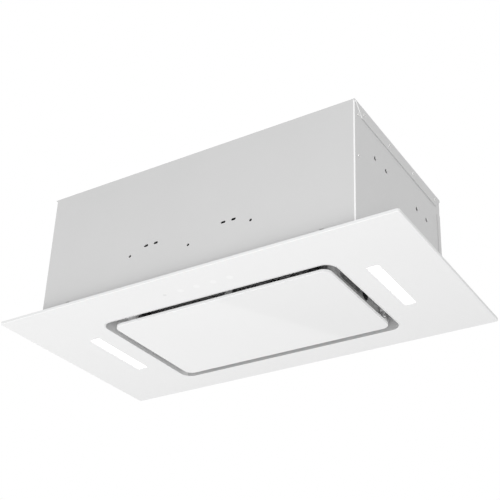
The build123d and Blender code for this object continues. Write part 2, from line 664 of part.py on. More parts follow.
# Cable gland and its nut: the mains lead enters here
GLAND_HEX = 8.0
GLAND_HEX_H = 4.0
GLAND_DOME_R = 7.0
GLAND_DOME_EDGE_R = 1.8
GLAND_THREAD_L = 9.0
GLAND_BORE_R = 4.0
GLAND_THREAD_BORE_R = 4.6
GLAND_STEP = 1.0
GLAND_TOP = CASE_TOP + 12.0
GLAND_NUT_HEX = 8.5
GLAND_NUT_H = 4.0
gland_bottom = CASE_TOP - GLAND_THREAD_L
with BuildPart() as cable_gland:
    with BuildSketch(Plane.XY.offset(CASE_TOP)):
        with Locations(GLAND):
            RegularPolygon(GLAND_HEX, 6, major_radius=False)
    extrude(amount=GLAND_HEX_H)
    with BuildSketch(Plane.XY.offset(CASE_TOP + GLAND_HEX_H)):
        with Locations(GLAND):
            Circle(GLAND_DOME_R)
    extrude(amount=GLAND_TOP - CASE_TOP - GLAND_HEX_H)
    fillet(faces().sort_by(Axis.Z)[-1].edges(), GLAND_DOME_EDGE_R)
    with BuildSketch(Plane.XY.offset(CASE_TOP)):
        with Locations(GLAND):
            Circle(GLAND_THREAD_R)
    extrude(amount=-GLAND_THREAD_L)
    with BuildSketch(Plane.XY.offset(gland_bottom)):
        with Locations(GLAND):
            Circle(GLAND_BORE_R)
    extrude(amount=GLAND_TOP - gland_bottom, mode=Mode.SUBTRACT)
    with BuildSketch(Plane.XY.offset(gland_bottom)):
        with Locations(GLAND):
            Circle(GLAND_THREAD_BORE_R)
    extrude(amount=GLAND_THREAD_L + GLAND_STEP, mode=Mode.SUBTRACT)
write(cable_gland, "cable_gland")

with BuildPart() as gland_nut:
    with BuildSketch(Plane.XY.offset(COVER_UNDER)):
        with Locations(GLAND):
            RegularPolygon(GLAND_NUT_HEX, 6, major_radius=False)
            Circle(GLAND_THREAD_R, mode=Mode.SUBTRACT)
    extrude(amount=-GLAND_NUT_H)
write(gland_nut, "gland_nut")


def blower_plane(x):
    """Plane across the blower's axis at x: its first axis is Y, its second is Z."""
    return Plane(origin=(x, BLOWER_Y, BLOWER_Z), x_dir=(0, 1, 0), z_dir=(1, 0, 0))


def scroll_outline(inset):
    """Spiral wall in three arcs, each a step wider than the last, then straight up to the mouth."""
    first = SCROLL_R - inset
    second = first + SCROLL_STEP
    third = second + SCROLL_STEP
    shifted = (SCROLL_STEP, 0)
    raised = (SCROLL_STEP, SCROLL_STEP)
    tongue = (inset, sqrt(first**2 - inset**2))
    tongue_angle = 90 - degrees(asin(inset / first))
    with BuildSketch() as outline:
        with BuildLine():
            Line((inset, SCROLL_RISE), tongue)
            ThreePointArc(tongue, polar((0, 0), first, (tongue_angle + 180) / 2), (-first, 0))
            ThreePointArc((-first, 0), polar(shifted, second, 225), polar(shifted, second, 270))
            ThreePointArc(
                polar(raised, third, 270), polar(raised, third, 315), polar(raised, third, 0)
            )
            Line(polar(raised, third, 0), (SCROLL_STEP + third, SCROLL_RISE))
            Line((SCROLL_STEP + third, SCROLL_RISE), (inset, SCROLL_RISE))
        make_face()
    return outline.sketch


# Blower housing: two scroll halves that meet at the middle and hang from the cover
INLET_R = 44.0
JOIN_RIM = 4.0
JOIN_RIM_T = 2.0
MOUTH_PLAY = 0.5
BUSH_RADIUS = 50.6
BUSH_ANGLES = (15.0, 135.0, 255.0)
MOTOR_SCREW_R = 1.5
MOTOR_SCREW_PLAY = 0.1
bush_spots = [polar((0, 0), BUSH_RADIUS, angle) for angle in BUSH_ANGLES]
for name, side in (("left", -1), ("right", 1)):
    with BuildPart() as scroll:
        with BuildSketch(blower_plane(0)):
            add(scroll_outline(0))
        extrude(amount=side * SCROLL_HALF)
        with BuildSketch(blower_plane(0)):
            add(scroll_outline(-JOIN_RIM))
        extrude(amount=side * JOIN_RIM_T)
        with BuildSketch(Plane.XY.offset(BLOWER_FLANGE)):
            with Locations((side * BLOWER_SQUARE / 4, COLLAR_Y)):
                Rectangle(BLOWER_SQUARE / 2, BLOWER_SQUARE)
            with Locations(*collar_screw_spots):
                Circle(SCREW_HOLE_R, mode=Mode.SUBTRACT)
        extrude(amount=SCROLL_T)
        with BuildSketch(blower_plane(0)):
            add(scroll_outline(SCROLL_T))
        extrude(amount=side * (SCROLL_HALF - SCROLL_T), mode=Mode.SUBTRACT)
        with BuildSketch(Plane.XY.offset(BLOWER_FLANGE)):
            with Locations((side * BLOW_W / 4, COLLAR_Y)):
                Rectangle(BLOW_W / 2, BLOW_D + 2 * MOUTH_PLAY)
        extrude(amount=SCROLL_T, mode=Mode.SUBTRACT)
        with BuildSketch(blower_plane(side * SCROLL_HALF)):
            Circle(INLET_R)
            if side < 0:
                with Locations(*bush_spots):
                    Circle(MOTOR_SCREW_R + MOTOR_SCREW_PLAY)
        extrude(amount=-side * 2 * SCROLL_T, mode=Mode.SUBTRACT)
    write(scroll, f"scroll_{name}")

# Inlet rings: a short throat on each side that leads the air into the wheel
THROAT_START = WHEEL_HALF + 1.2
THROAT_R = INLET_R - 0.2
THROAT_T = 1.5
THROAT_RIM = 2.0
THROAT_RIM_T = 1.2
with BuildPart() as inlet_rings:
    for side in (-1, 1):
        with BuildSketch(blower_plane(side * THROAT_START)):
            Circle(THROAT_R)
        extrude(amount=side * (SCROLL_HALF - THROAT_START))
        with BuildSketch(blower_plane(side * SCROLL_HALF)):
            Circle(INLET_R + THROAT_RIM)
        extrude(amount=side * THROAT_RIM_T)
    with BuildSketch(blower_plane(0)):
        Circle(THROAT_R - THROAT_T)
    extrude(amount=2 * SCROLL_HALF, both=True, mode=Mode.SUBTRACT)
write(inlet_rings, "inlet_rings")


def blade_profile():
    """One forward-curved blade: an arc band from its root to a tip that leans the way it turns."""
    root = (BLADE_ROOT_R, 0.0)
    tip = (BLADE_TIP_R, BLADE_LEAN)
    chord = hypot(tip[0] - root[0], tip[1] - root[1])
    across = ((tip[1] - root[1]) / chord, (root[0] - tip[0]) / chord)

    def shifted(point, distance):
        return (point[0] + distance * across[0], point[1] + distance * across[1])

    middle = ((root[0] + tip[0]) / 2, (root[1] + tip[1]) / 2)
    with BuildSketch() as blade:
        with BuildLine():
            ThreePointArc(root, shifted(middle, BLADE_BOW), tip)
            Line(tip, shifted(tip, -BLADE_T))
            ThreePointArc(
                shifted(tip, -BLADE_T), shifted(middle, BLADE_BOW - BLADE_T), shifted(root, -BLADE_T)
            )
            Line(shifted(root, -BLADE_T), root)
        make_face()
    return blade.sketch


# Impeller: a double-inlet wheel, with thirty forward-curved blades on each face of one disc and an
# end ring on the far ends of each set of blades
DISC_T = 1.5
HUB_R = 9.0
HUB_HALF = 7.0
END_RING_T = 2.0
END_RING_W = 5.0
with BuildPart() as impeller_disc:
    with BuildSketch(blower_plane(-DISC_T / 2)):
        Circle(WHEEL_R)
    extrude(amount=DISC_T)
    with BuildSketch(blower_plane(-HUB_HALF)):
        Circle(HUB_R)
    extrude(amount=2 * HUB_HALF)
    with BuildSketch(blower_plane(-HUB_HALF)):
        Circle(SHAFT_R)
    extrude(amount=2 * HUB_HALF, mode=Mode.SUBTRACT)
write(impeller_disc, "impeller_disc")

with BuildPart() as impeller_blades:
    for side in (-1, 1):
        with BuildSketch(blower_plane(side * DISC_T / 2)):
            with PolarLocations(0, BLADE_COUNT):
                add(blade_profile())
        extrude(amount=side * (WHEEL_HALF - END_RING_T - DISC_T / 2))
write(impeller_blades, "impeller_blades")

with BuildPart() as impeller_rings:
    for side in (-1, 1):
        with BuildSketch(blower_plane(side * (WHEEL_HALF - END_RING_T))):
            Circle(WHEEL_R)
            Circle(WHEEL_R - END_RING_W, mode=Mode.SUBTRACT)
        extrude(amount=side * END_RING_T)
write(impeller_rings, "impeller_rings")

# Motor inside the left half of the wheel, on a three-armed bracket with rubber bushes
MOTOR_R = 28.0
MOTOR_CAP_R = 24.0
MOTOR_CAP_L = 10.0
MOTOR_OUTER = -60.0
MOTOR_INNER = -10.0
SHAFT_CLEAR = 1.0
BEARING_R = 8.0
BEARING_W = 5.0
BRACKET_T = 2.0
BRACKET_ARM_W = 10.0
BRACKET_PAD_R = 5.0
BUSH_R = 4.2
MOTOR_SCREW_HEAD_R = 3.2
MOTOR_SCREW_HEAD_H = 2.2
with BuildPart() as motor_shaft:
    with BuildSketch(blower_plane(MOTOR_OUTER - BRACKET_T)):
        Circle(SHAFT_R)
    extrude(amount=HUB_HALF - MOTOR_OUTER + BRACKET_T)
write(motor_shaft, "motor_shaft")

with BuildPart() as motor:
    with BuildSketch(blower_plane(MOTOR_OUTER)):
        Circle(MOTOR_CAP_R)
    extrude(amount=MOTOR_INNER - MOTOR_OUTER)
    with BuildSketch(blower_plane(MOTOR_OUTER + MOTOR_CAP_L)):
        Circle(MOTOR_R)
    extrude(amount=MOTOR_INNER - MOTOR_OUTER - 2 * MOTOR_CAP_L)
    with BuildSketch(blower_plane(MOTOR_OUTER)):
        Circle(SHAFT_R + SHAFT_CLEAR)
    extrude(amount=MOTOR_INNER - MOTOR_OUTER, mode=Mode.SUBTRACT)
    for x in (MOTOR_OUTER, MOTOR_INNER - BEARING_W):
        with BuildSketch(blower_plane(x)):
            Circle(BEARING_R)
        extrude(amount=BEARING_W, mode=Mode.SUBTRACT)
write(motor, "motor")

with BuildPart() as motor_bearings:
    for x in (MOTOR_OUTER, MOTOR_INNER - BEARING_W):
        with BuildSketch(blower_plane(x)):
            Circle(BEARING_R)
            Circle(SHAFT_R + RUNNING, mode=Mode.SUBTRACT)
        extrude(amount=BEARING_W)
write(motor_bearings, "motor_bearings")

with BuildPart() as motor_bracket:
    with BuildSketch(blower_plane(MOTOR_OUTER)):
        Circle(MOTOR_CAP_R)
        for angle in BUSH_ANGLES:
            with Locations(Location((0, 0, 0), (0, 0, angle))):
                Rectangle(BUSH_RADIUS, BRACKET_ARM_W, align=(Align.MIN, Align.CENTER))
        with Locations(*bush_spots):
            Circle(BRACKET_PAD_R)
        Circle(BEARING_R, mode=Mode.SUBTRACT)
        with Locations(*bush_spots):
            Circle(MOTOR_SCREW_R + MOTOR_SCREW_PLAY, mode=Mode.SUBTRACT)
    extrude(amount=-BRACKET_T)
write(motor_bracket, "motor_bracket")

with BuildPart() as motor_bushes:
    with BuildSketch(blower_plane(MOTOR_OUTER)):
        with Locations(*bush_spots):
            Circle(BUSH_R)
            Circle(MOTOR_SCREW_R + MOTOR_SCREW_PLAY, mode=Mode.SUBTRACT)
    extrude(amount=-SCROLL_HALF - MOTOR_OUTER)
write(motor_bushes, "motor_bushes")

with BuildPart() as motor_screws:
    with BuildSketch(blower_plane(MOTOR_OUTER - BRACKET_T)):
        with Locations(*bush_spots):
            Circle(MOTOR_SCREW_HEAD_R)
    extrude(amount=-MOTOR_SCREW_HEAD_H)
    with BuildSketch(blower_plane(MOTOR_OUTER - BRACKET_T)):
        with Locations(*bush_spots):
            Circle(MOTOR_SCREW_R)
    extrude(amount=BRACKET_T - MOTOR_OUTER - SCROLL_HALF + 2 * SCROLL_T)
write(motor_screws, "motor_screws")

# Motor capacitor in a clip under the cover
CAP_X = -170.0
CAP_Y = 45.0
CAP_Z = 170.0
CAP_R = 15.0
CAP_L = 54.0
CAP_EDGE_R = 1.0
CAP_TABS = (-5.0, 5.0)
CAP_TAB = (0.8, 6.0)
CAP_TAB_L = 8.0
STRAP_W = 12.0
STRAP_STEM = 8.0
STRAP_FOOT = 36.0
with BuildPart() as capacitor:
    with BuildSketch(Plane.XZ.offset(-CAP_Y - CAP_L / 2)):
        with Locations((CAP_X, CAP_Z)):
            Circle(CAP_R)
    extrude(amount=CAP_L)
    fillet(edges(), CAP_EDGE_R)
    with BuildSketch(Plane.XZ.offset(-CAP_Y + CAP_L / 2)):
        with Locations(*[(CAP_X + x, CAP_Z) for x in CAP_TABS]):
            Rectangle(*CAP_TAB)
    extrude(amount=CAP_TAB_L)
write(capacitor, "capacitor")

with BuildPart() as capacitor_clip:
    with BuildSketch(Plane.XZ.offset(-CAP_Y - STRAP_W / 2)):
        with Locations((CAP_X, CAP_Z)):
            Circle(CAP_R + SHEET)
        with Locations((CAP_X, COVER_UNDER)):
            Rectangle(STRAP_STEM, COVER_UNDER - CAP_Z, align=(Align.CENTER, Align.MAX))
            Rectangle(STRAP_FOOT, SHEET, align=(Align.CENTER, Align.MAX))
        with Locations((CAP_X, CAP_Z)):
            Circle(CAP_R, mode=Mode.SUBTRACT)
    extrude(amount=STRAP_W)
write(capacitor_clip, "capacitor_clip")

# Outlet collar on the cover, with a seat for the rims of the two flaps
BASE_T = 2.0
COLLAR_FLANGE_R = 85.0
BORE_R = COLLAR_R - COLLAR_T
SEAT_TOP = 197.0
SEAT_UNDER = SEAT_TOP - SCROLL_T
PIVOT_Z = 199.0
PIVOT_SPREAD = 2.6
PIVOT_R = 1.2
PIVOT_END = BORE_R + 0.8
PIVOT_END_PLAY = 0.1
SEAT_W = 2.5
SEAT_ROOT = 0.5
with BuildPart() as outlet_collar:
    with BuildSketch(Plane.XY.offset(CASE_TOP)):
        with Locations((0, COLLAR_Y)):
            Circle(COLLAR_FLANGE_R)
        with Locations(*collar_screw_spots):
            Circle(SCREW_HOLE_R, mode=Mode.SUBTRACT)
    extrude(amount=BASE_T)
    with BuildSketch(Plane.XY.offset(CASE_TOP)):
        with Locations((0, COLLAR_Y)):
            Circle(COLLAR_R)
    extrude(amount=COLLAR_TOP - CASE_TOP)
    with BuildSketch(Plane.XY.offset(CASE_TOP)):
        with Locations((0, COLLAR_Y)):
            Circle(BORE_R)
    extrude(amount=COLLAR_TOP - CASE_TOP, mode=Mode.SUBTRACT)
    with BuildSketch(Plane.XY.offset(SEAT_UNDER)):
        with Locations((0, COLLAR_Y)):
            Circle(BORE_R + SEAT_ROOT)
            Circle(BORE_R - SEAT_W, mode=Mode.SUBTRACT)
    extrude(amount=SCROLL_T)
    with BuildSketch(Plane.YZ):
        with Locations((COLLAR_Y - PIVOT_SPREAD, PIVOT_Z), (COLLAR_Y + PIVOT_SPREAD, PIVOT_Z)):
            Circle(PIVOT_R + RUNNING)
    extrude(amount=PIVOT_END + PIVOT_END_PLAY, both=True, mode=Mode.SUBTRACT)
write(outlet_collar, "outlet_collar")

# Rest bar: a strip across the bore, under the seat, that the straight edges of the flaps shut on
BAR_W = 4.0
with BuildPart() as flap_rest_bar:
    with BuildSketch(Plane.XY.offset(CASE_TOP + BASE_T)):
        with Locations((0, COLLAR_Y)):
            Rectangle(2 * BORE_R, BAR_W)
            Circle(BORE_R, mode=Mode.INTERSECT)
    extrude(amount=SEAT_UNDER - CASE_TOP - BASE_T)
write(flap_rest_bar, "flap_rest_bar")

SCREW_HEAD_R = 4.0
SCREW_HEAD_H = 2.4
SCREW_HEAD_EDGE = 0.6
SCREW_L = 10.0
with BuildPart() as collar_screws:
    with BuildSketch(Plane.XY.offset(CASE_TOP + BASE_T)):
        with Locations(*collar_screw_spots):
            Circle(SCREW_HEAD_R)
    extrude(amount=SCREW_HEAD_H)
    chamfer(faces().filter_by(Axis.Z).group_by(Axis.Z)[-1].edges(), SCREW_HEAD_EDGE)
    with BuildSketch(Plane.XY.offset(CASE_TOP + BASE_T)):
        with Locations(*collar_screw_spots):
            Circle(SCREW_R)
    extrude(amount=-SCREW_L)
write(collar_screws, "collar_screws")

# Non-return flaps: two half discs, each with three knuckles on its own pin
KNUCKLES = ((-66.0, -52.0), (-8.0, 8.0), (52.0, 66.0))
KNUCKLE_R = 2.2
FLAP_UNDER = 197.4
FLAP_SET_BACK = 4.5
FLAP_WEB = 6.0
for name, side in (("front", -1), ("rear", 1)):
    pivot_y = COLLAR_Y + side * PIVOT_SPREAD
    with BuildPart() as flap:
        with BuildSketch(Plane.XY.offset(FLAP_UNDER)):
            with Locations((0, COLLAR_Y)):
                Circle(FLAP_R)
            with Locations((0, COLLAR_Y + side * FLAP_SET_BACK)):
                Rectangle(3 * FLAP_R, 2 * FLAP_R, mode=Mode.SUBTRACT,
                          align=(Align.CENTER, Align.MIN if side < 0 else Align.MAX))
            for start, end in KNUCKLES:
                with Locations(((start + end) / 2, COLLAR_Y + side * (PIVOT_SPREAD + FLAP_WEB) / 2)):
                    Rectangle(end - start, FLAP_WEB - PIVOT_SPREAD)
        extrude(amount=FLAP_T)
        for start, end in KNUCKLES:
            with BuildSketch(Plane.YZ.offset(start)):
                with Locations((pivot_y, PIVOT_Z)):
                    Circle(KNUCKLE_R)
            extrude(amount=end - start)
        with BuildSketch(Plane.YZ):
            with Locations((pivot_y, PIVOT_Z)):
                Circle(PIVOT_R + RUNNING)
        extrude(amount=BORE_R, both=True, mode=Mode.SUBTRACT)
    write(flap, f"flap_{name}")

with BuildPart() as flap_pins:
    with BuildSketch(Plane.YZ):
        with Locations((COLLAR_Y - PIVOT_SPREAD, PIVOT_Z), (COLLAR_Y + PIVOT_SPREAD, PIVOT_Z)):
            Circle(PIVOT_R)
    extrude(amount=PIVOT_END, both=True)
write(flap_pins, "flap_pins")

# Grease filter: a foil frame open above, below, in front, behind and at the sides, and a sleeve
# for each latch
FILTER_R = 3.0
SLEEVE_BORE_R = LATCH_R + EASE
SLEEVE_R = SLEEVE_BORE_R + 1.0
SLEEVE_DEPTH = PLUG_L + LATCH_TRAVEL + SPRING_ROOM + SHEET
WINDOW_BOTTOM = 18.5
WINDOW_TOP = 31.5
WINDOW_Z = (WINDOW_BOTTOM + WINDOW_TOP) / 2
WINDOW_H = WINDOW_TOP - WINDOW_BOTTOM
WINDOW_X = (-78.0, 78.0)
WINDOW_W = 144.0
SIDE_WINDOW_W = 56.0
SIDE_WINDOW_R = 5.0
FRAME_LIP = 8.0
with BuildPart() as filter_frame:
    with BuildSketch(Plane.XY.offset(FILTER_BOTTOM)):
        with Locations((0, FILTER_Y)):
            RectangleRounded(FILTER_W, FILTER_D, FILTER_R)
    extrude(amount=FILTER_TOP - FILTER_BOTTOM)
    with BuildSketch(Plane.XY.offset(FILTER_BOTTOM + FOIL)):
        with Locations((0, FILTER_Y)):
            RectangleRounded(FILTER_W - 2 * FOIL, FILTER_D - 2 * FOIL, FILTER_R - FOIL)
    extrude(amount=FILTER_TOP - FILTER_BOTTOM - 2 * FOIL, mode=Mode.SUBTRACT)
    with BuildSketch(Plane.XY.offset(FILTER_TOP)):
        with Locations((0, FILTER_Y)):
            Rectangle(FILTER_W - 2 * FRAME_LIP, FILTER_D - 2 * FRAME_LIP)
    extrude(amount=-2 * FOIL, mode=Mode.SUBTRACT)
    with BuildSketch(Plane.XY.offset(FILTER_BOTTOM)):
        with Locations(*[(x, FILTER_Y) for x in WINDOW_X]):
            Rectangle(WINDOW_W, FILTER_D - 2 * FRAME_LIP)
    extrude(amount=2 * FOIL, mode=Mode.SUBTRACT)
    with BuildSketch(Plane.XZ):
        with Locations(*[(x, WINDOW_Z) for x in WINDOW_X]):
            Rectangle(WINDOW_W, WINDOW_H)
    extrude(amount=PANEL_D / 2, both=True, mode=Mode.SUBTRACT)
    with BuildSketch(Plane.YZ):
        with Locations((0, WINDOW_Z)):
            RectangleRounded(SIDE_WINDOW_W, WINDOW_H, SIDE_WINDOW_R)
    extrude(amount=FILTER_W, both=True, mode=Mode.SUBTRACT)
    for side in (-1, 1):
        with BuildSketch(Plane.YZ.offset(side * (FILTER_W / 2 - FOIL))):
            with Locations((LATCH_Y, LATCH_Z)):
                Circle(SLEEVE_R)
        extrude(amount=-side * (SLEEVE_DEPTH - FOIL))
        with BuildSketch(Plane.YZ.offset(side * FILTER_W / 2)):
            with Locations((LATCH_Y, LATCH_Z)):
                Circle(SLEEVE_BORE_R)
        extrude(amount=-side * (SLEEVE_DEPTH - SHEET), mode=Mode.SUBTRACT)
write(filter_frame, "filter_frame")

# Filter mesh: layered metal mesh that lines the frame, cut away around the latch sleeves
MESH_T = 2.0
MESH_GAP = 0.2
with BuildPart() as filter_mesh:
    mesh_w = FILTER_W - 2 * FOIL
    mesh_d = FILTER_D - 2 * FOIL
    with BuildSketch(Plane.XY.offset(FILTER_BOTTOM + FOIL)):
        with Locations((0, FILTER_Y)):
            RectangleRounded(mesh_w, mesh_d, FILTER_R - FOIL)
    extrude(amount=FILTER_TOP - FILTER_BOTTOM - 2 * FOIL - MESH_GAP)
    with BuildSketch(Plane.XY.offset(FILTER_BOTTOM + FOIL + MESH_T)):
        with Locations((0, FILTER_Y)):
            Rectangle(mesh_w - 2 * MESH_T, mesh_d - 2 * MESH_T)
    extrude(amount=FILTER_TOP, mode=Mode.SUBTRACT)
    for side in (-1, 1):
        with BuildSketch(Plane.YZ.offset(side * FILTER_W / 2)):
            with Locations((LATCH_Y, LATCH_Z)):
                Circle(SLEEVE_R + EASE)
        extrude(amount=-side * (SLEEVE_DEPTH + EASE), mode=Mode.SUBTRACT)
write(filter_mesh, "filter_mesh")

with BuildPart() as filter_seal:
    with BuildSketch(Plane.XY.offset(FILTER_TOP)):
        with Locations((0, FILTER_Y)):
            RectangleRounded(FILTER_W, FILTER_D, FILTER_R)
            Rectangle(FILTER_W - 2 * FRAME_LIP, FILTER_D - 2 * FRAME_LIP, mode=Mode.SUBTRACT)
    extrude(amount=ROOF - FILTER_TOP)
write(filter_seal, "filter_seal")

# Filter latches: round finger plugs that slide inwards, each with a nose in a fixed keeper
GRIP_GROOVE = (5.0, 6.6)
GRIP_DIMPLE_R = 3.4
GRIP_DEPTH = 1.5
NOSE_REACH = 8.0
NOSE_ROOT = 2.0
NOSE_W = 8.0
NOSE_Z = 29.0
NOSE_H = 3.0
SPRING_R = 5.0
SPRING_WIRE_R = 0.35
SPRING_TURNS = 2.5
PLUG_BACK = FILTER_W / 2 - PLUG_L
SLEEVE_END = FILTER_W / 2 - SLEEVE_DEPTH + SHEET
for name, side in (("left", -1), ("right", 1)):
    with BuildPart() as latch:
        with BuildSketch(Plane.YZ.offset(side * PLUG_BACK)):
            with Locations((LATCH_Y, LATCH_Z)):
                Circle(LATCH_R)
        extrude(amount=side * PLUG_L)
        with BuildSketch(Plane.YZ.offset(side * FILTER_W / 2)):
            with Locations((LATCH_Y, LATCH_Z)):
                Circle(GRIP_GROOVE[1])
                Circle(GRIP_GROOVE[0], mode=Mode.SUBTRACT)
                Circle(GRIP_DIMPLE_R)
        extrude(amount=-side * GRIP_DEPTH, mode=Mode.SUBTRACT)
        with BuildSketch(Plane.YZ.offset(side * (PLUG_BACK + NOSE_ROOT))):
            with Locations((LATCH_Y, NOSE_Z)):
                Rectangle(NOSE_W, NOSE_H)
        extrude(amount=side * (PLUG_L - NOSE_ROOT + NOSE_REACH))
    write(latch, f"latch_{name}")

    with BuildPart() as latch_spring:
        spring_start = SLEEVE_END + SPRING_WIRE_R
        spring_length = PLUG_BACK - SLEEVE_END - 2 * SPRING_WIRE_R
        with BuildLine():
            coil = Helix(
                pitch=spring_length / SPRING_TURNS,
                height=spring_length,
                radius=SPRING_R,
                center=(side * spring_start, LATCH_Y, LATCH_Z),
                direction=(side, 0, 0),
            )
        with BuildSketch(Plane(origin=coil @ 0, z_dir=coil % 0)):
            Circle(SPRING_WIRE_R)
        sweep()
    write(latch_spring, f"latch_spring_{name}")

# Latch keepers: slotted plates under the recess roof, beside the filter
KEEPER_X = 163.0
KEEPER_W = 20.0
KEEPER_BOTTOM = 22.0
KEEPER_PLAY = 0.5
FOOT = 8.0
with BuildPart() as latch_keepers:
    for side in (-1, 1):
        with BuildSketch(Plane.YZ.offset(side * KEEPER_X)):
            with Locations((LATCH_Y, (KEEPER_BOTTOM + ROOF) / 2)):
                Rectangle(KEEPER_W, ROOF - KEEPER_BOTTOM)
            with Locations((LATCH_Y, NOSE_Z)):
                Rectangle(NOSE_W + 2 * KEEPER_PLAY, NOSE_H + 2 * KEEPER_PLAY, mode=Mode.SUBTRACT)
        extrude(amount=side * SHEET)
        with BuildSketch(Plane.XY.offset(ROOF - SHEET)):
            with Locations((side * (KEEPER_X + FOOT / 2), LATCH_Y)):
                Rectangle(FOOT, KEEPER_W)
        extrude(amount=SHEET)
write(latch_keepers, "latch_keepers")

# Centre glass and the steel tray that is bonded to its back
CENTRE_Y = RECESS_Y
with BuildPart() as centre_glass:
    with BuildSketch(Plane.XY):
        with Locations((0, CENTRE_Y)):
            RectangleRounded(CENTRE_W, CENTRE_D, CENTRE_R)
    extrude(amount=GLASS_T)
    chamfer(faces().sort_by(Axis.Z)[0].edges(), ARRIS)
write(centre_glass, "centre_glass")

PANEL_TRAY_W = 318.0
PANEL_TRAY_FRONT = -63.0
PANEL_TRAY_BACK = 90.0
PANEL_TRAY_TOP = 12.0
PANEL_TRAY_R = 5.0
PANEL_TRAY_D = PANEL_TRAY_BACK - PANEL_TRAY_FRONT
PANEL_TRAY_Y = (PANEL_TRAY_FRONT + PANEL_TRAY_BACK) / 2
with BuildPart() as panel_tray:
    with BuildSketch(Plane.XY.offset(GLASS_T)):
        with Locations((0, PANEL_TRAY_Y)):
            RectangleRounded(PANEL_TRAY_W, PANEL_TRAY_D, PANEL_TRAY_R)
    extrude(amount=PANEL_TRAY_TOP - GLASS_T)
    with BuildSketch(Plane.XY.offset(GLASS_T + FOIL)):
        with Locations((0, PANEL_TRAY_Y)):
            RectangleRounded(
                PANEL_TRAY_W - 2 * FOIL, PANEL_TRAY_D - 2 * FOIL, PANEL_TRAY_R - FOIL
            )
    extrude(amount=PANEL_TRAY_TOP, mode=Mode.SUBTRACT)
write(panel_tray, "panel_tray")

# Panel hinge: arms on the panel's tray, brackets under the recess roof, shoulder pins between
ARM_X = PANEL_TRAY_W / 2
ARM_T = 1.5
ARM_EYE_R = 6.0
ARM_FOOT = ((55.0, 4.8), (85.0, 4.8), (85.0, 11.5), (55.0, 11.5))
ARM_NECK = ((78.0, 4.8), (95.0, 8.35), (88.0, 17.3), (78.0, 11.5))
BRACKET_X = ARM_X + 2 * ARM_T
BRACKET_EYE_R = 7.0
BRACKET_W = 2 * BRACKET_EYE_R
with BuildPart() as hinge_arms:
    for side in (-1, 1):
        with BuildSketch(Plane.YZ.offset(side * ARM_X)):
            Polygon(*ARM_FOOT, align=None)
            Polygon(*ARM_NECK, align=None)
            with Locations((HINGE_Y, HINGE_Z)):
                Circle(ARM_EYE_R)
                Circle(PIN_R + RUNNING, mode=Mode.SUBTRACT)
        extrude(amount=side * ARM_T)
write(hinge_arms, "hinge_arms")

with BuildPart() as hinge_brackets:
    for side in (-1, 1):
        with BuildSketch(Plane.YZ.offset(side * BRACKET_X)):
            with Locations((HINGE_Y, (HINGE_Z + ROOF) / 2)):
                Rectangle(BRACKET_W, ROOF - HINGE_Z)
            with Locations((HINGE_Y, HINGE_Z)):
                Circle(BRACKET_EYE_R)
                Circle(PIN_R, mode=Mode.SUBTRACT)
        extrude(amount=side * ARM_T)
        with BuildSketch(Plane.XY.offset(ROOF - ARM_T)):
            with Locations((side * (BRACKET_X + FOOT / 2), HINGE_Y)):
                Rectangle(FOOT, BRACKET_W)
        extrude(amount=ARM_T)
write(hinge_brackets, "hinge_brackets")

PIN_HEAD_R = 4.0
PIN_INSIDE = 0.4
PIN_PLAY = 0.1
with BuildPart() as hinge_pins:
    for side in (-1, 1):
        for start, end, radius in (
            (ARM_X - PIN_INSIDE, BRACKET_X + ARM_T, PIN_R),
            (ARM_X + ARM_T + PIN_PLAY, BRACKET_X - PIN_PLAY, PIN_HEAD_R),
            (BRACKET_X + ARM_T, BRACKET_X + 2 * ARM_T, PIN_HEAD_R),
        ):
            with BuildSketch(Plane.YZ.offset(side * start)):
                with Locations((HINGE_Y, HINGE_Z)):
                    Circle(radius)
            extrude(amount=side * (end - start))
write(hinge_pins, "hinge_pins")

# Magnet posts under the recess roof and the striker cups on the panel's tray that they hold
MAGNET_X = 132.0
MAGNET_Y = -54.5
MAGNET_R = 6.0
STRIKER_R = 7.5
MAGNET_GAP = 0.3
magnet_spots = [(-MAGNET_X, MAGNET_Y), (MAGNET_X, MAGNET_Y)]
with BuildPart() as panel_magnets:
    with BuildSketch(Plane.XY.offset(ROOF)):
        with Locations(*magnet_spots):
            Circle(MAGNET_R)
    extrude(amount=-(ROOF - PANEL_TRAY_TOP - MAGNET_GAP))
write(panel_magnets, "panel_magnets")

with BuildPart() as strikers:
    with BuildSketch(Plane.XY.offset(GLASS_T + FOIL)):
        with Locations(*magnet_spots):
            Circle(STRIKER_R)
    extrude(amount=PANEL_TRAY_TOP - GLASS_T - FOIL)
    with BuildSketch(Plane.XY.offset(GLASS_T + FOIL)):
        with Locations(*magnet_spots):
            Circle(STRIKER_R - SHEET)
    extrude(amount=PANEL_TRAY_TOP - GLASS_T - FOIL - SHEET, mode=Mode.SUBTRACT)
write(strikers, "strikers")
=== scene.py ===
"""Looks of a built-in range hood, and the studio that it is seen in."""
import math

import bmesh
import bpy
from bpy.props import FloatProperty, FloatVectorProperty, IntProperty, PointerProperty
from mathutils import Matrix, Vector


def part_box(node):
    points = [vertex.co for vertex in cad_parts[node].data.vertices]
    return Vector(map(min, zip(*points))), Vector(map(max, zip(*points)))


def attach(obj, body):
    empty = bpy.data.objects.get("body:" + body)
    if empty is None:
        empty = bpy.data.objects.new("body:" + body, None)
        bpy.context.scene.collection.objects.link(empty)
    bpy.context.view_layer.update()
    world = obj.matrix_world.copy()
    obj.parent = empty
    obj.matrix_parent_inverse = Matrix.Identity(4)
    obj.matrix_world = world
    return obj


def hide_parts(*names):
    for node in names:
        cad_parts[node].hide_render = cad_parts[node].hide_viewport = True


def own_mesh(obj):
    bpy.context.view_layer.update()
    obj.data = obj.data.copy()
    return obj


bl_info = {
    "name": "Range hood",
    "version": (1, 0, 0),
    "blender": (4, 5, 0),
    "location": "View3D > Sidebar > Range hood",
    "description": "Dresses a packed built-in range hood and sets up its studio",
    "category": "Object",
}

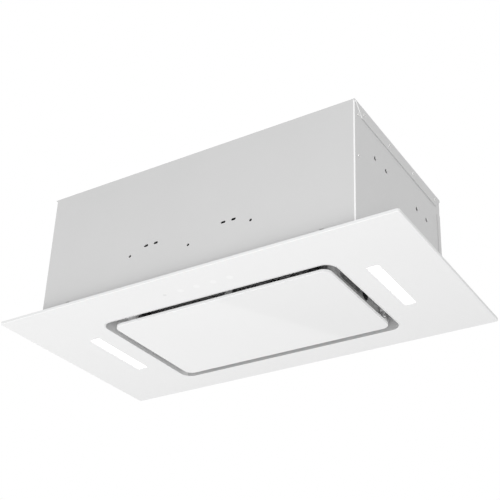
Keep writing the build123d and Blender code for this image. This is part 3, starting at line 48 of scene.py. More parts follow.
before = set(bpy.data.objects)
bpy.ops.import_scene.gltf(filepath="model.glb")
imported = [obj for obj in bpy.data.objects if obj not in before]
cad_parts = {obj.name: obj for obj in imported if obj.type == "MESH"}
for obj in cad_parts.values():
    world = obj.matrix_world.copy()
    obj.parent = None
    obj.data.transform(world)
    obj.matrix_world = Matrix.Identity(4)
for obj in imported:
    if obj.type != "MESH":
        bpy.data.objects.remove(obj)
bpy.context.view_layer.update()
MM = 0.001

# Places on the hood, in mm
FILTER_LOW, FILTER_HIGH = (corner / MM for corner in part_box("filter_frame"))
TOUCH_Y = -118.0
CENTRE_GLASS = (0.0, 12.0), (172.0, 94.0)  # middle and half size of a box round the centre glass
# Painted light: the glass edges inside this box get a painted glow.
GAP_ROUND = (0.0, 0.0), (200.0, 130.0)  # the same round the suction gap, short of the outer rim
LAMP_X, LAMP_Y = 217.5, -1.0
LAMP_FACE = (7.7, 55.3), 0.8  # half size and corner radius of the lit face
LAMP_FLANGE = (9.35, 58.35), 1.0  # the same of the flange behind it
LAMP_FRONT, LAMP_SEAT, LAMP_BACK = 4.4, 5.5, 7.0  # heights of the lit face and the flange's two sides
LAMP_CHAMFER = 0.3
LED_PITCH = 13.0
SPRING_SEAT = 143.0, 43.0, 24.5  # of the right latch; the left one is its mirror image
SPRING_WIRE = 0.35

# Profile of a blind rivet with its mandrel hole: radius and height in mm
RIVET = (
    (0, -3.5), (1.5, -3.5), (1.5, 0), (2.4, 0), (2.35, 0.25), (2.0, 0.6), (1.5, 0.78), (0.95, 0.8),
    (0.8, 0.7), (0.8, -0.6), (0, -0.6),
)

# Roughness that etching and grinding add to polished glass
SATIN, GROUND = 0.4, 0.12

# The photograph's camera: the point it turns about, in mm, and the shift of its lens
TARGET = 84.0, 0.0, -0.3
SHIFT = -0.10116, 0.12124


# Settings

def colour(name, description, default):
    return FloatVectorProperty(name=name, description=description, default=default, size=3,
                               subtype="COLOR", min=0, max=1)


def length(name, description, default_mm):
    return FloatProperty(name=name, description=description, default=default_mm * MM, min=0,
                         unit="LENGTH", precision=4)


def angle(name, description, degrees):
    return FloatProperty(name=name, description=description, default=math.radians(degrees),
                         unit="ROTATION")


def power(name, description, watts):
    return FloatProperty(name=name, description=description, default=watts, unit="POWER")


class HoodColours(bpy.types.PropertyGroup):
    """Colours of the hood's finishes."""
    glass: colour("Glass", "White paint behind the glass", (0.85, 0.85, 0.85))
    # Partly painted shade: the ground edge's tone is set darker than the glass to offset the extra light
    # the edges catch from the front.
    glass_edge: colour("Glass edge", "Ground edge of the glass", (0.77, 0.775, 0.775))
    mark: colour("Touch marks", "Pale printed discs", (0.89, 0.89, 0.89))
    dot: colour("First mark", "Grey printed dot at the left end of the row", (0.76, 0.76, 0.76))
    casing: colour("Casing", "Sheet of the casing", (0.61, 0.61, 0.61))
    # Painted highlight: a much lighter colour laid on the casing's bends, standing in for the highlight
    # of the corner lamp on them.
    bend: colour("Bends", "Coating stretched bright over the bends of the casing", (0.95, 0.95, 0.95))
    steel: colour("Steel", "Brushed steel of the trays, faces across X", (0.80, 0.80, 0.80))
    # Painted light and shade: level faces of the trays get a lighter tone and faces across Y a darker one
    # than the faces across X.
    steel_flat_lit: colour("Flat steel", "Brushed steel of the trays, level faces", (1.0, 1.0, 1.0))
    steel_across_shaded: colour("Steel across", "Brushed steel of the trays, faces across Y", (0.50, 0.50, 0.50))
    bright: colour("Bright steel", "Plated fasteners and shafts", (0.72, 0.72, 0.71))
    spring: colour("Spring steel", "Clips and springs", (0.38, 0.38, 0.37))
    zinc: colour("Zinc", "Zinc-plated angles and brackets", (0.55, 0.56, 0.58))
    foil: colour("Filter foil", "Pressed aluminium of the filter's frame", (0.66, 0.66, 0.66))
    mesh: colour("Filter mesh", "Expanded aluminium", (0.55, 0.55, 0.56))
    foam: colour("Foam", "Seals", (0.035, 0.035, 0.037))
    rubber: colour("Rubber", "Bushes", (0.02, 0.02, 0.02))
    black: colour("Black plastic", "Scroll, flaps, latches", (0.022, 0.022, 0.024))
    grey: colour("Grey plastic", "Wheel and control box", (0.42, 0.43, 0.44))
    white: colour("White plastic", "Lamp housings and touch cover", (0.78, 0.78, 0.76))
    lamp: colour("Lamp", "Lit diffuser", (1.0, 0.99, 0.97))
    board: colour("Board", "Solder mask", (0.02, 0.13, 0.07))
    motor: colour("Motor", "Motor can", (0.20, 0.20, 0.21))


class HoodMesh(bpy.types.PropertyGroup):
    """Sizes of the filter's expanded metal."""
    cell_length: length("Cell length", "Long way of a diamond", 6.0)
    cell_width: length("Cell width", "Short way of a diamond", 3.0)
    strand: length("Strand", "Width of a strand", 0.7)
    thickness: length("Thickness", "Thickness of a strand", 0.4)
    inner_cell_length: length("Inner cell length", "Long way of a diamond in the inner layer", 5.0)
    inner_cell_width: length("Inner cell width", "Short way of a diamond in the inner layer", 2.6)


class HoodMarks(bpy.types.PropertyGroup):
    """Touch marks printed on the glass, in a row along X, and a painted glow on its edges round the gap.
    """
    # Painted light: emission on the glass edges round the gap, though they are no lamp.
    painted_edge_light: FloatProperty(name="Edge glow", description="Light leaving the edges round the gap",
                             default=0.22, min=0)
    radius: length("Radius", "Radius of a disc", 4.2)
    dot_radius: length("Dot radius", "Radius of the first mark", 2.4)
    pitch: length("Pitch", "Distance between marks", 25.0)
    count: IntProperty(name="Count", description="Number of marks", default=5, min=1, max=9)


class HoodStage(bpy.types.PropertyGroup):
    """Camera and light."""
    azimuth: angle("Azimuth", "0 looks along +Y", 30.3416)
    elevation: angle("Elevation", "Below the horizon when negative", -27.1459)
    roll: angle("Roll", "Turn about the line of sight", 0.8947)
    distance: length("Distance", "Camera to the point it turns about", 1396.32)
    lens: FloatProperty(name="Lens", description="Focal length on a 36 mm sensor", default=76.396)
    sky: FloatProperty(name="Sky", description="Strength of the even light", default=0.73, min=0)
    bend_light: power("Bend light", "Power of the lamp over the right corner", 3.2)
    under: power("Under", "Power of the lamp below", 26.0)
    near: power("Near", "Power of the lamp beside the camera", 10.4)
    window: power("Window", "Power of the lamp that the centre glass mirrors", 2.5)
    floor: colour("Floor", "Floor below the hood", (0.82, 0.82, 0.82))


# Node helpers

def feed(tree, node, inputs):
    """Sets a node's inputs. A value is a constant, or a socket that the input is joined to."""
    for key, value in inputs.items():
        if isinstance(value, bpy.types.NodeSocket):
            tree.links.new(value, node.inputs[key])
        else:
            node.inputs[key].default_value = value


def put(tree, kind, inputs=None, **attributes):
    """Adds a node with the given attributes and inputs."""
    node = tree.nodes.new(kind)
    for key, value in attributes.items():
        setattr(node, key, value)
    feed(tree, node, inputs or {})
    return node


def maths(tree, operation, *values):
    return put(tree, "ShaderNodeMath", dict(enumerate(values)), operation=operation).outputs[0]


def axes(tree, **values):
    return put(tree, "ShaderNodeCombineXYZ", values).outputs[0]


def blend_colours(tree, factor, first, second):
    node = put(tree, "ShaderNodeMix", {0: factor, 6: first, 7: second}, data_type="RGBA")
    return node.outputs[2]


def inside(tree, place, middle, half_size):
    """1 inside a box in X and Y, given in mm, and 0 outside."""
    sides = []
    for axis in (0, 1):
        off = maths(tree, "ABSOLUTE", maths(tree, "SUBTRACT", place[axis], middle[axis] * MM))
        sides.append(maths(tree, "LESS_THAN", off, half_size[axis] * MM))
    return maths(tree, "MULTIPLY", *sides)


def opaque(rgb, gain=1.0):
    return (*[min(1.0, channel * gain) for channel in rgb], 1.0)


def new_group(name, kind, inputs, outputs):
    """An empty node group with named sockets: (name, type, default) in, (name, type) out."""
    tree = bpy.data.node_groups.new(name, kind)
    for label, socket_type, default in inputs:
        socket = tree.interface.new_socket(label, in_out="INPUT", socket_type=socket_type)
        if default is not None:
            socket.default_value = default
    for label, socket_type in outputs:
        tree.interface.new_socket(label, in_out="OUTPUT", socket_type=socket_type)
    return tree, put(tree, "NodeGroupInput").outputs, put(tree, "NodeGroupOutput")


# Shared surface effects

SURFACE_IN = [
    ("Vector", "NodeSocketVector", None),
    ("Colour", "NodeSocketColor", (0.5, 0.5, 0.5, 1.0)),
    ("Contrast", "NodeSocketFloat", 0.1),
    ("Roughness", "NodeSocketFloat", 0.4),
    ("Spread", "NodeSocketFloat", 0.1),
]
SURFACE_OUT = [
    ("Colour", "NodeSocketColor"),
    ("Roughness", "NodeSocketFloat"),
    ("Height", "NodeSocketFloat"),
]


def surface_effect(name, pattern):
    """A group that varies a colour and a roughness about their own values by a pattern.

    pattern(tree, vector) returns three values from 0 to 1: tone, roughness and height."""
    tree, given, result = new_group(name, "ShaderNodeTree", SURFACE_IN, SURFACE_OUT)
    tone, rough, height = pattern(tree, given["Vector"])
    swing = maths(tree, "MULTIPLY", maths(tree, "SUBTRACT", tone, 0.5), given["Contrast"])
    gain = maths(tree, "ADD", swing, 1.0)
    varied = put(tree, "ShaderNodeVectorMath", {0: given["Colour"], "Scale": gain}, operation="SCALE")
    spread = maths(tree, "MULTIPLY", maths(tree, "SUBTRACT", rough, 0.5), given["Spread"])
    roughness = maths(tree, "MAXIMUM", maths(tree, "ADD", given["Roughness"], spread), 0.02)
    feed(tree, result, {"Colour": varied.outputs[0], "Roughness": roughness, "Height": height})
    return tree


def noise(tree, vector, scale, detail=3.0, rough=0.5, distortion=0.0):
    node = put(tree, "ShaderNodeTexNoise",
               {"Vector": vector, "Scale": scale, "Detail": detail, "Roughness": rough,
                "Distortion": distortion})
    return node.outputs[0]


def weighted(tree, first, share, second):
    """The first value at its share, and the second at the rest."""
    return maths(tree, "ADD", maths(tree, "MULTIPLY", first, share),
                 maths(tree, "MULTIPLY", second, 1 - share))


def stretched(tree, vector, scale):
    return put(tree, "ShaderNodeMapping", {"Vector": vector, "Scale": scale}).outputs[0]


def rolled_pattern(tree, vector):
    """Painted or coated sheet: broad soft clouds and a fine orange peel."""
    clouds = noise(tree, vector, 7.0, 2.0)
    peel = noise(tree, vector, 900.0, 1.0)
    return clouds, noise(tree, vector, 30.0, 4.0), peel


def brushed_pattern(tree, vector):
    """Hairlines along the vector's X."""
    lines = noise(tree, stretched(tree, vector, (4.0, 900.0, 900.0)), 1.0, 4.0, 0.65)
    streaks = noise(tree, stretched(tree, vector, (1.5, 60.0, 60.0)), 1.0, 3.0)
    return weighted(tree, lines, 0.6, streaks), lines, lines


def moulded_pattern(tree, vector):
    """Fine spark grain of a moulded part, with a slightly uneven gloss."""
    grain = noise(tree, vector, 1400.0, 2.0, 0.6)
    return noise(tree, vector, 18.0, 3.0), noise(tree, vector, 45.0, 3.0), grain


def foam_pattern(tree, vector):
    """Cells of a closed-cell foam."""
    cells = put(tree, "ShaderNodeTexVoronoi", {"Vector": vector, "Scale": 900.0}).outputs["Distance"]
    return noise(tree, vector, 60.0), cells, cells


def plated_pattern(tree, vector):
    """Turned and plated metal: faint rings and spots."""
    spots = noise(tree, vector, 500.0, 3.0, 0.6)
    return noise(tree, vector, 90.0, 3.0), spots, spots


def zinc_pattern(tree, vector):
    """Spangle of a zinc coat."""
    spangle = put(tree, "ShaderNodeTexVoronoi", {"Vector": vector, "Scale": 160.0}).outputs["Color"]
    tone = put(tree, "ShaderNodeSeparateColor", {0: spangle}).outputs[0]
    return tone, tone, noise(tree, vector, 300.0)


def wiped_pattern(tree, vector):
    """Faint wiping marks and settled dust, laid over any other effect."""
    wipes = noise(tree, stretched(tree, vector, (9.0, 3.0, 9.0)), 3.0, 5.0, 0.6, 0.8)
    specks = noise(tree, vector, 260.0, 2.0)
    return weighted(tree, wipes, 0.8, specks), wipes, specks


PATTERNS = {
    "Rolled sheet": rolled_pattern,
    "Brushed lines": brushed_pattern,
    "Moulded grain": moulded_pattern,
    "Foam cells": foam_pattern,
    "Plated metal": plated_pattern,
    "Zinc spangle": zinc_pattern,
    "Handling marks": wiped_pattern,
}


def shared(name):
    """The named effect, built on first use."""
    return bpy.data.node_groups.get(name) or surface_effect(name, PATTERNS[name])


def effect(tree, name, vector, rgb, contrast, roughness, spread):
    return put(tree, "ShaderNodeGroup",
               {"Vector": vector, "Colour": rgb, "Contrast": contrast, "Roughness": roughness,
                "Spread": spread}, node_tree=shared(name)).outputs


# Finishes

def object_vector(tree, turn=(0.0, 0.0, 0.0)):
    place = put(tree, "ShaderNodeTexCoord").outputs["Object"]
    return put(tree, "ShaderNodeMapping", {"Vector": place, "Rotation": turn}).outputs[0]


def start_material(name, **sockets):
    """A material with its Principled BSDF, whose even values stand on its own sockets."""
    material = bpy.data.materials.new(name)
    material.use_nodes = True
    tree = material.node_tree
    tree.nodes.clear()
    shader = put(tree, "ShaderNodeBsdfPrincipled", sockets)
    put(tree, "ShaderNodeOutputMaterial", {"Surface": shader.outputs[0]})
    return material, tree, shader


def finish_material(name, pattern, rgb, contrast=0.1, roughness=0.4, spread=0.1, bump=0.1,
                    depth=0.05, wear=0.05, turn=(0.0, 0.0, 0.0), **sockets):
    """A finish in the given pattern with handling marks over it; depth is the relief in mm."""
    material, tree, shader = start_material(name, **sockets)
    base = effect(tree, pattern, object_vector(tree, turn), opaque(rgb), contrast, roughness, spread)
    over = effect(tree, "Handling marks", object_vector(tree), base["Colour"], wear,
                  base["Roughness"], 2 * wear)
    relief = put(tree, "ShaderNodeBump", {"Strength": bump, "Distance": depth * MM,
                                          "Height": base["Height"]})
    feed(tree, shader, {"Base Color": over["Colour"], "Roughness": over["Roughness"],
                        "Normal": relief.outputs[0]})
    return material


def open_finish(material):
    """What lays another tone over a finish: its tree, shader, colour, roughness and normal."""
    tree = material.node_tree
    shader = next(node for node in tree.nodes if node.type == "BSDF_PRINCIPLED")
    laid = [shader.inputs[key].links[0].from_socket for key in ("Base Color", "Roughness")]
    return tree, shader, *laid, put(tree, "ShaderNodeTexCoord").outputs["Normal"]


def paint_bend_highlight(material, rgb):
    """Lays a painted highlight, a brighter and smoother tone, over the surfaces that face between the
    axes.
    """
    tree, shader, tone, rough, normal = open_finish(material)
    squared = put(tree, "ShaderNodeVectorMath", {0: normal, 1: normal}, operation="MULTIPLY").outputs[0]
    fourth = put(tree, "ShaderNodeVectorMath", {0: squared, 1: squared}, operation="DOT_PRODUCT")
    # 0 on a flat wall and 0.5 half way round a bend
    turned = maths(tree, "SUBTRACT", 1.0, fourth.outputs["Value"])
    bend = put(tree, "ShaderNodeMapRange", {"Value": turned, "From Min": 0.1, "From Max": 0.4}).outputs[0]
    smoother = maths(tree, "SUBTRACT", rough, maths(tree, "MULTIPLY", bend, 0.2))
    # The bright colour here is a painted highlight; only the lower roughness is a real change of the
    # surface.
    feed(tree, shader, {"Base Color": blend_colours(tree, bend, tone, opaque(rgb)),
                        "Roughness": smoother})


def paint_light_by_face(material, lit_flat_rgb, shaded_across_rgb, share=0.8):
    """Level faces and the faces across Y get tones of their own: painted light and shade by the way each
    face is turned.
    """
    tree, shader, tone, _, normal = open_finish(material)
    facing = put(tree, "ShaderNodeSeparateXYZ", {0: normal}).outputs
    for axis, rgb in ((2, lit_flat_rgb), (1, shaded_across_rgb)):
        # Within about 45 degrees of the axis
        turned = maths(tree, "GREATER_THAN", maths(tree, "ABSOLUTE", facing[axis]), 0.7)
        tone = blend_colours(tree, maths(tree, "MULTIPLY", turned, share), tone, opaque(rgb))
    feed(tree, shader, {"Base Color": tone})


def dress(material, *nodes):
    """Gives CAD nodes their finish."""
    for name in nodes:
        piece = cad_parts[name]
        if not piece.material_slots:
            piece.data.materials.append(material)
        for slot in piece.material_slots:
            slot.material = material


# Mesh helpers

def add_object(name, data):
    piece = bpy.data.objects.new(name, data)
    bpy.context.scene.collection.objects.link(piece)
    return piece


def circle(radius, z, steps):
    turns = [2 * math.pi * k / steps for k in range(steps)]
    return [Vector((radius * math.cos(turn), radius * math.sin(turn), z)) for turn in turns]


def join_loops(model, low, high):
    """Faces between two loops of vertices; a loop of one vertex is a pole."""
    for k in range(max(len(low), len(high))):
        corners = [low[k % len(low)], low[(k + 1) % len(low)],
                   high[(k + 1) % len(high)], high[k % len(high)]]
        model.faces.new(list(dict.fromkeys(corners)))


def closed_mesh(name, model):
    """The model as a mesh whose faces point outwards."""
    bmesh.ops.recalc_face_normals(model, faces=model.faces)
    mesh = bpy.data.meshes.new(name)
    model.to_mesh(mesh)
    model.free()
    return mesh


def lathe(name, profile, segments=24):
    """A closed body of revolution about Z from (radius, height) points, first and last at radius 0."""
    model = bmesh.new()
    rings = []
    for radius, height in profile:
        points = circle(radius, height, segments) if radius else [(0, 0, height)]
        rings.append([model.verts.new(point) for point in points])
    for low, high in zip(rings, rings[1:]):
        join_loops(model, low, high)
    return closed_mesh(name, model)


def spots_mesh(spots):
    """Loose points, each with the way it faces: [(place, facing), ...] in mm."""
    mesh = bpy.data.meshes.new("spots")
    mesh.from_pydata([tuple(c * MM for c in place) for place, _ in spots], [], [])
    facing = mesh.attributes.new("facing", "FLOAT_VECTOR", "POINT")
    facing.data.foreach_set("vector", [c for _, way in spots for c in way])
    return mesh


def grow(name, tree, values, mesh=None):
    """Runs a geometry tree on a new object and keeps its result as a plain mesh."""
    piece = add_object(name, mesh or bpy.data.meshes.new(name))
    modifier = piece.modifiers.new("Build", "NODES")
    modifier.node_group = tree
    for item in tree.interface.items_tree:
        if item.item_type == "SOCKET" and item.in_out == "INPUT" and item.name in values:
            modifier[item.identifier] = values[item.name]
    evaluated = piece.evaluated_get(bpy.context.evaluated_depsgraph_get())
    result = bpy.data.meshes.new_from_object(evaluated)
    piece.modifiers.clear()
    piece.data = result
    result.name = name
    return piece


def shade_smooth(piece, sharp=35.0):
    """Smooth shading that keeps the edges sharper than the angle."""
    model = bmesh.new()
    model.from_mesh(piece.data)
    for face in model.faces:
        face.smooth = True
    for edge in model.edges:
        edge.smooth = len(edge.link_faces) == 2 and edge.calc_face_angle() < math.radians(sharp)
    model.to_mesh(piece.data)
    model.free()
    return piece


def seat(piece, node):
    """Fixes a finished piece to the casing, in place of a CAD node."""
    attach(piece, "casing")
    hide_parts(node)


# Geometry trees

def new_shape(name, sizes, more=()):
    """A geometry tree that takes its start, named sizes and a material."""
    inputs = [("Geometry", "NodeSocketGeometry", None)]
    inputs += [(label, "NodeSocketFloat", size) for label, size in sizes.items()]
    inputs += [*more, ("Material", "NodeSocketMaterial", None)]
    return new_group(name, "GeometryNodeTree", inputs, [("Geometry", "NodeSocketGeometry")])


def finish_shape(tree, geometry, material, result):
    """Ends a tree in Realize Instances and Set Material."""
    real = put(tree, "GeometryNodeRealizeInstances", {0: geometry})
    done = put(tree, "GeometryNodeSetMaterial", {"Geometry": real.outputs[0], "Material": material})
    feed(tree, result, {0: done.outputs[0]})
    return tree


def point_line(tree, count, start, step):
    node = put(tree, "GeometryNodeMeshLine", {"Count": count, "Start Location": start, "Offset": step},
               mode="OFFSET", count_mode="TOTAL")
    return node.outputs[0]


def expanded_metal_tree():
    """One flat sheet of expanded metal in the XY plane: zigzag strands that meet row by row."""
    sizes = {"Width": 0.1, "Height": 0.05, "Cell Length": 0.006, "Cell Width": 0.003,
             "Strand": 0.0007, "Thickness": 0.0004}
    tree, given, result = new_group(
        "Expanded metal", "GeometryNodeTree",
        [(label, "NodeSocketFloat", size) for label, size in sizes.items()],
        [("Mesh", "NodeSocketGeometry")])
    cells = maths(tree, "ROUND", maths(tree, "DIVIDE", given["Width"], given["Cell Length"]))
    steps = maths(tree, "MULTIPLY", cells, 2.0)
    step = maths(tree, "DIVIDE", given["Width"], steps)
    start = axes(tree, X=maths(tree, "MULTIPLY", given["Width"], -0.5))
    line = point_line(tree, maths(tree, "ADD", steps, 1.0), start, axes(tree, X=step))
    parity = maths(tree, "MODULO", put(tree, "GeometryNodeInputIndex").outputs[0], 2.0)
    sway = maths(tree, "MULTIPLY", maths(tree, "SUBTRACT", parity, 0.5), given["Cell Width"])
    bent = put(tree, "GeometryNodeSetPosition", {"Geometry": line, "Offset": axes(tree, Y=sway)})
    path = put(tree, "GeometryNodeMeshToCurve", {"Mesh": bent.outputs[0]})
    section = put(tree, "GeometryNodeCurvePrimitiveQuadrilateral",
                  {"Width": given["Strand"], "Height": given["Thickness"]})
    strand = put(tree, "GeometryNodeCurveToMesh",
                 {"Curve": path.outputs[0], "Profile Curve": section.outputs[0], "Fill Caps": True})
    rows = maths(tree, "ROUND", maths(tree, "DIVIDE", given["Height"], given["Cell Width"]))
    pitch = maths(tree, "DIVIDE", given["Height"], rows)
    low = maths(tree, "MULTIPLY", maths(tree, "SUBTRACT", given["Height"], pitch), -0.5)
    ladder = point_line(tree, rows, axes(tree, Y=low), axes(tree, Y=pitch))
    net = put(tree, "GeometryNodeInstanceOnPoints",
              {"Points": ladder, "Instance": strand.outputs[0],
               "Rotation": axes(tree, Z=maths(tree, "MULTIPLY", parity, math.pi))})
    real = put(tree, "GeometryNodeRealizeInstances", {0: net.outputs[0]})
    feed(tree, result, {0: real.outputs[0]})
    return tree


def filter_pack_tree(sheet, panels):
    """The filter's sheets of expanded metal: (width, height, place, turn, inner) for each panel."""
    tree, given, result = new_shape(
        "Filter pack", {"Cell Length": 0.006, "Cell Width": 0.003, "Inner Cell Length": 0.005,
                        "Inner Cell Width": 0.0026, "Strand": 0.0007, "Thickness": 0.0004})
    joined = put(tree, "GeometryNodeJoinGeometry")
    for width, height, place, turn, inner in panels:
        prefix = "Inner " if inner else ""
        panel = put(tree, "GeometryNodeGroup",
                    {"Width": width * MM, "Height": height * MM,
                     "Cell Length": given[prefix + "Cell Length"],
                     "Cell Width": given[prefix + "Cell Width"], "Strand": given["Strand"],
                     "Thickness": given["Thickness"]}, node_tree=sheet)
        moved = put(tree, "GeometryNodeTransform",
                    {"Geometry": panel.outputs[0], "Translation": [c * MM for c in place],
                     "Rotation": [math.radians(a) for a in turn]})
        tree.links.new(moved.outputs[0], joined.inputs[0])
    return finish_shape(tree, joined.outputs[0], given["Material"], result)


def fasteners_tree():
    """Sets one head on every point, square to the way the point faces and turned at random."""
    tree, given, result = new_shape(
        "Fasteners", {}, [("Head", "NodeSocketObject", None), ("Seed", "NodeSocketInt", 3)])
    head = put(tree, "GeometryNodeObjectInfo", {"Object": given["Head"]})
    facing = put(tree, "GeometryNodeInputNamedAttribute", {"Name": "facing"}, data_type="FLOAT_VECTOR")
    square = put(tree, "FunctionNodeAlignRotationToVector", {"Vector": facing.outputs[0]}, axis="Z")
    chance = put(tree, "FunctionNodeRandomValue", {"Max": 2 * math.pi, "Seed": given["Seed"]},
                 data_type="FLOAT")
    spin = put(tree, "FunctionNodeAxisAngleToRotation", {"Axis": (0, 0, 1), "Angle": chance.outputs[1]})
    turned = put(tree, "FunctionNodeRotateRotation",
                 {"Rotation": square.outputs[0], "Rotate By": spin.outputs[0]}, rotation_space="LOCAL")
    placed = put(tree, "GeometryNodeInstanceOnPoints",
                 {"Points": given["Geometry"], "Instance": head.outputs["Geometry"],
                  "Rotation": turned.outputs[0]})
    return finish_shape(tree, placed.outputs[0], given["Material"], result)


def coils_tree():
    """A coil spring on every point, wound up along Z."""
    tree, given, result = new_shape(
        "Coils", {"Radius": 0.004, "Top Radius": 0.003, "Wire": 0.0003, "Turns": 5.0, "Height": 0.006})
    spiral = put(tree, "GeometryNodeCurveSpiral",
                 {"Resolution": 16, "Rotations": given["Turns"], "Start Radius": given["Radius"],
                  "End Radius": given["Top Radius"], "Height": given["Height"]})
    wire = put(tree, "GeometryNodeCurvePrimitiveCircle", {"Resolution": 6, "Radius": given["Wire"]})
    coil = put(tree, "GeometryNodeCurveToMesh",
               {"Curve": spiral.outputs[0], "Profile Curve": wire.outputs[0], "Fill Caps": True})
    placed = put(tree, "GeometryNodeInstanceOnPoints",
                 {"Points": given["Geometry"], "Instance": coil.outputs[0]})
    return finish_shape(tree, placed.outputs[0], given["Material"], result)


def set_heads(name, spots, head_mesh, seed):
    """Heads of bright steel on the given spots, as one plain mesh."""
    tree = bpy.data.node_groups.get("Fasteners") or fasteners_tree()
    head = add_object(name + "_head", head_mesh)
    piece = grow(name, tree,
                 {"Head": head, "Seed": seed, "Material": bpy.data.materials["Bright steel"]},
                 spots_mesh(spots))
    bpy.data.objects.remove(head)
    return shade_smooth(piece)


def set_coils(name, spots, radii, wire, turns, height):
    """Coil springs on the given spots, as one plain mesh; sizes in mm."""
    tree = bpy.data.node_groups.get("Coils") or coils_tree()
    return grow(name, tree,
                {"Radius": radii[0] * MM, "Top Radius": radii[1] * MM, "Wire": wire * MM,
                 "Turns": turns, "Height": height * MM,
                 "Material": bpy.data.materials["Spring steel"]},
                spots_mesh(spots))


# Shapes of single parts

def bolt_circle(radius, *degrees):
    return [(radius * math.cos(a), radius * math.sin(a)) for a in map(math.radians, degrees)]


def rounded_loop(model, place, half_size, radius, z):
    """Vertices round a rectangle with rounded corners, in mm."""
    points = []
    for corner in range(4):
        across, along = ((1, 1), (-1, 1), (-1, -1), (1, -1))[corner]
        for degrees in range(0, 91, 15):
            turn = math.radians(90 * corner + degrees)
            points.append((place[0] + across * (half_size[0] - radius) + radius * math.cos(turn),
                           place[1] + along * (half_size[1] - radius) + radius * math.sin(turn), z))
    return [model.verts.new(Vector(point) * MM) for point in points]


def recessed_lens(name, x):
    """A diffuser whose lit face lies back in its window, on the flange that holds it."""
    (half_x, half_y), radius = LAMP_FACE
    lit = (half_x - LAMP_CHAMFER, half_y - LAMP_CHAMFER), radius - LAMP_CHAMFER
    model = bmesh.new()
    rows = [rounded_loop(model, (x, LAMP_Y), *outline, z) for outline, z in (
        (lit, LAMP_FRONT), (LAMP_FACE, LAMP_FRONT + LAMP_CHAMFER), (LAMP_FACE, LAMP_SEAT),
        (LAMP_FLANGE, LAMP_SEAT), (LAMP_FLANGE, LAMP_BACK))]
    for low, high in zip(rows, rows[1:]):
        join_loops(model, low, high)
    model.faces.new(list(reversed(rows[0])))
    model.faces.new(rows[-1])
    return add_object(name, closed_mesh(name, model))


def cross_head(name, radius, height, shank_radius, shank):
    """A screw with a cross recess in its pan head, whose underside is at height 0; sizes in mm."""
    radius, height, shank_radius, shank = (size * MM for size in (radius, height, shank_radius, shank))
    reach, half, deep = 0.55 * radius, 0.13 * radius, 0.6 * height
    cross = []
    for quarter in range(4):
        turn = Matrix.Rotation(math.pi / 2 * quarter, 3, "Z")
        cross += [turn @ Vector((x, y, 0)) for x, y in ((half, half), (reach, half), (reach, -half))]
    cross.sort(key=lambda c: math.atan2(c.y, c.x))
    model = bmesh.new()
    outline = circle(radius, 0, 32)
    low = [model.verts.new(p) for p in outline]
    middle = [model.verts.new(p + Vector((0, 0, 0.55 * height))) for p in outline]
    top = [model.verts.new((p.x * 0.72, p.y * 0.72, height)) for p in outline]
    rim = [model.verts.new((c.x, c.y, height)) for c in cross]
    floor = [model.verts.new((c.x * 0.8, c.y * 0.8, height - deep)) for c in cross]
    for first, second in ((low, middle), (middle, top), (rim, floor)):
        join_loops(model, first, second)
    model.faces.new(floor)
    ring = [model.edges.get((loop[k], loop[(k + 1) % len(loop)]))
            for loop in (top, rim) for k in range(len(loop))]
    bmesh.ops.triangle_fill(model, edges=ring, use_beauty=True)
    model.faces.new(list(reversed(low)))
    upper, lower = ([model.verts.new(p) for p in circle(shank_radius, z, 12)] for z in (0.0, -shank))
    join_loops(model, upper, lower)
    model.faces.new(upper)
    model.faces.new(list(reversed(lower)))
    return closed_mesh(name, model)


# Operators

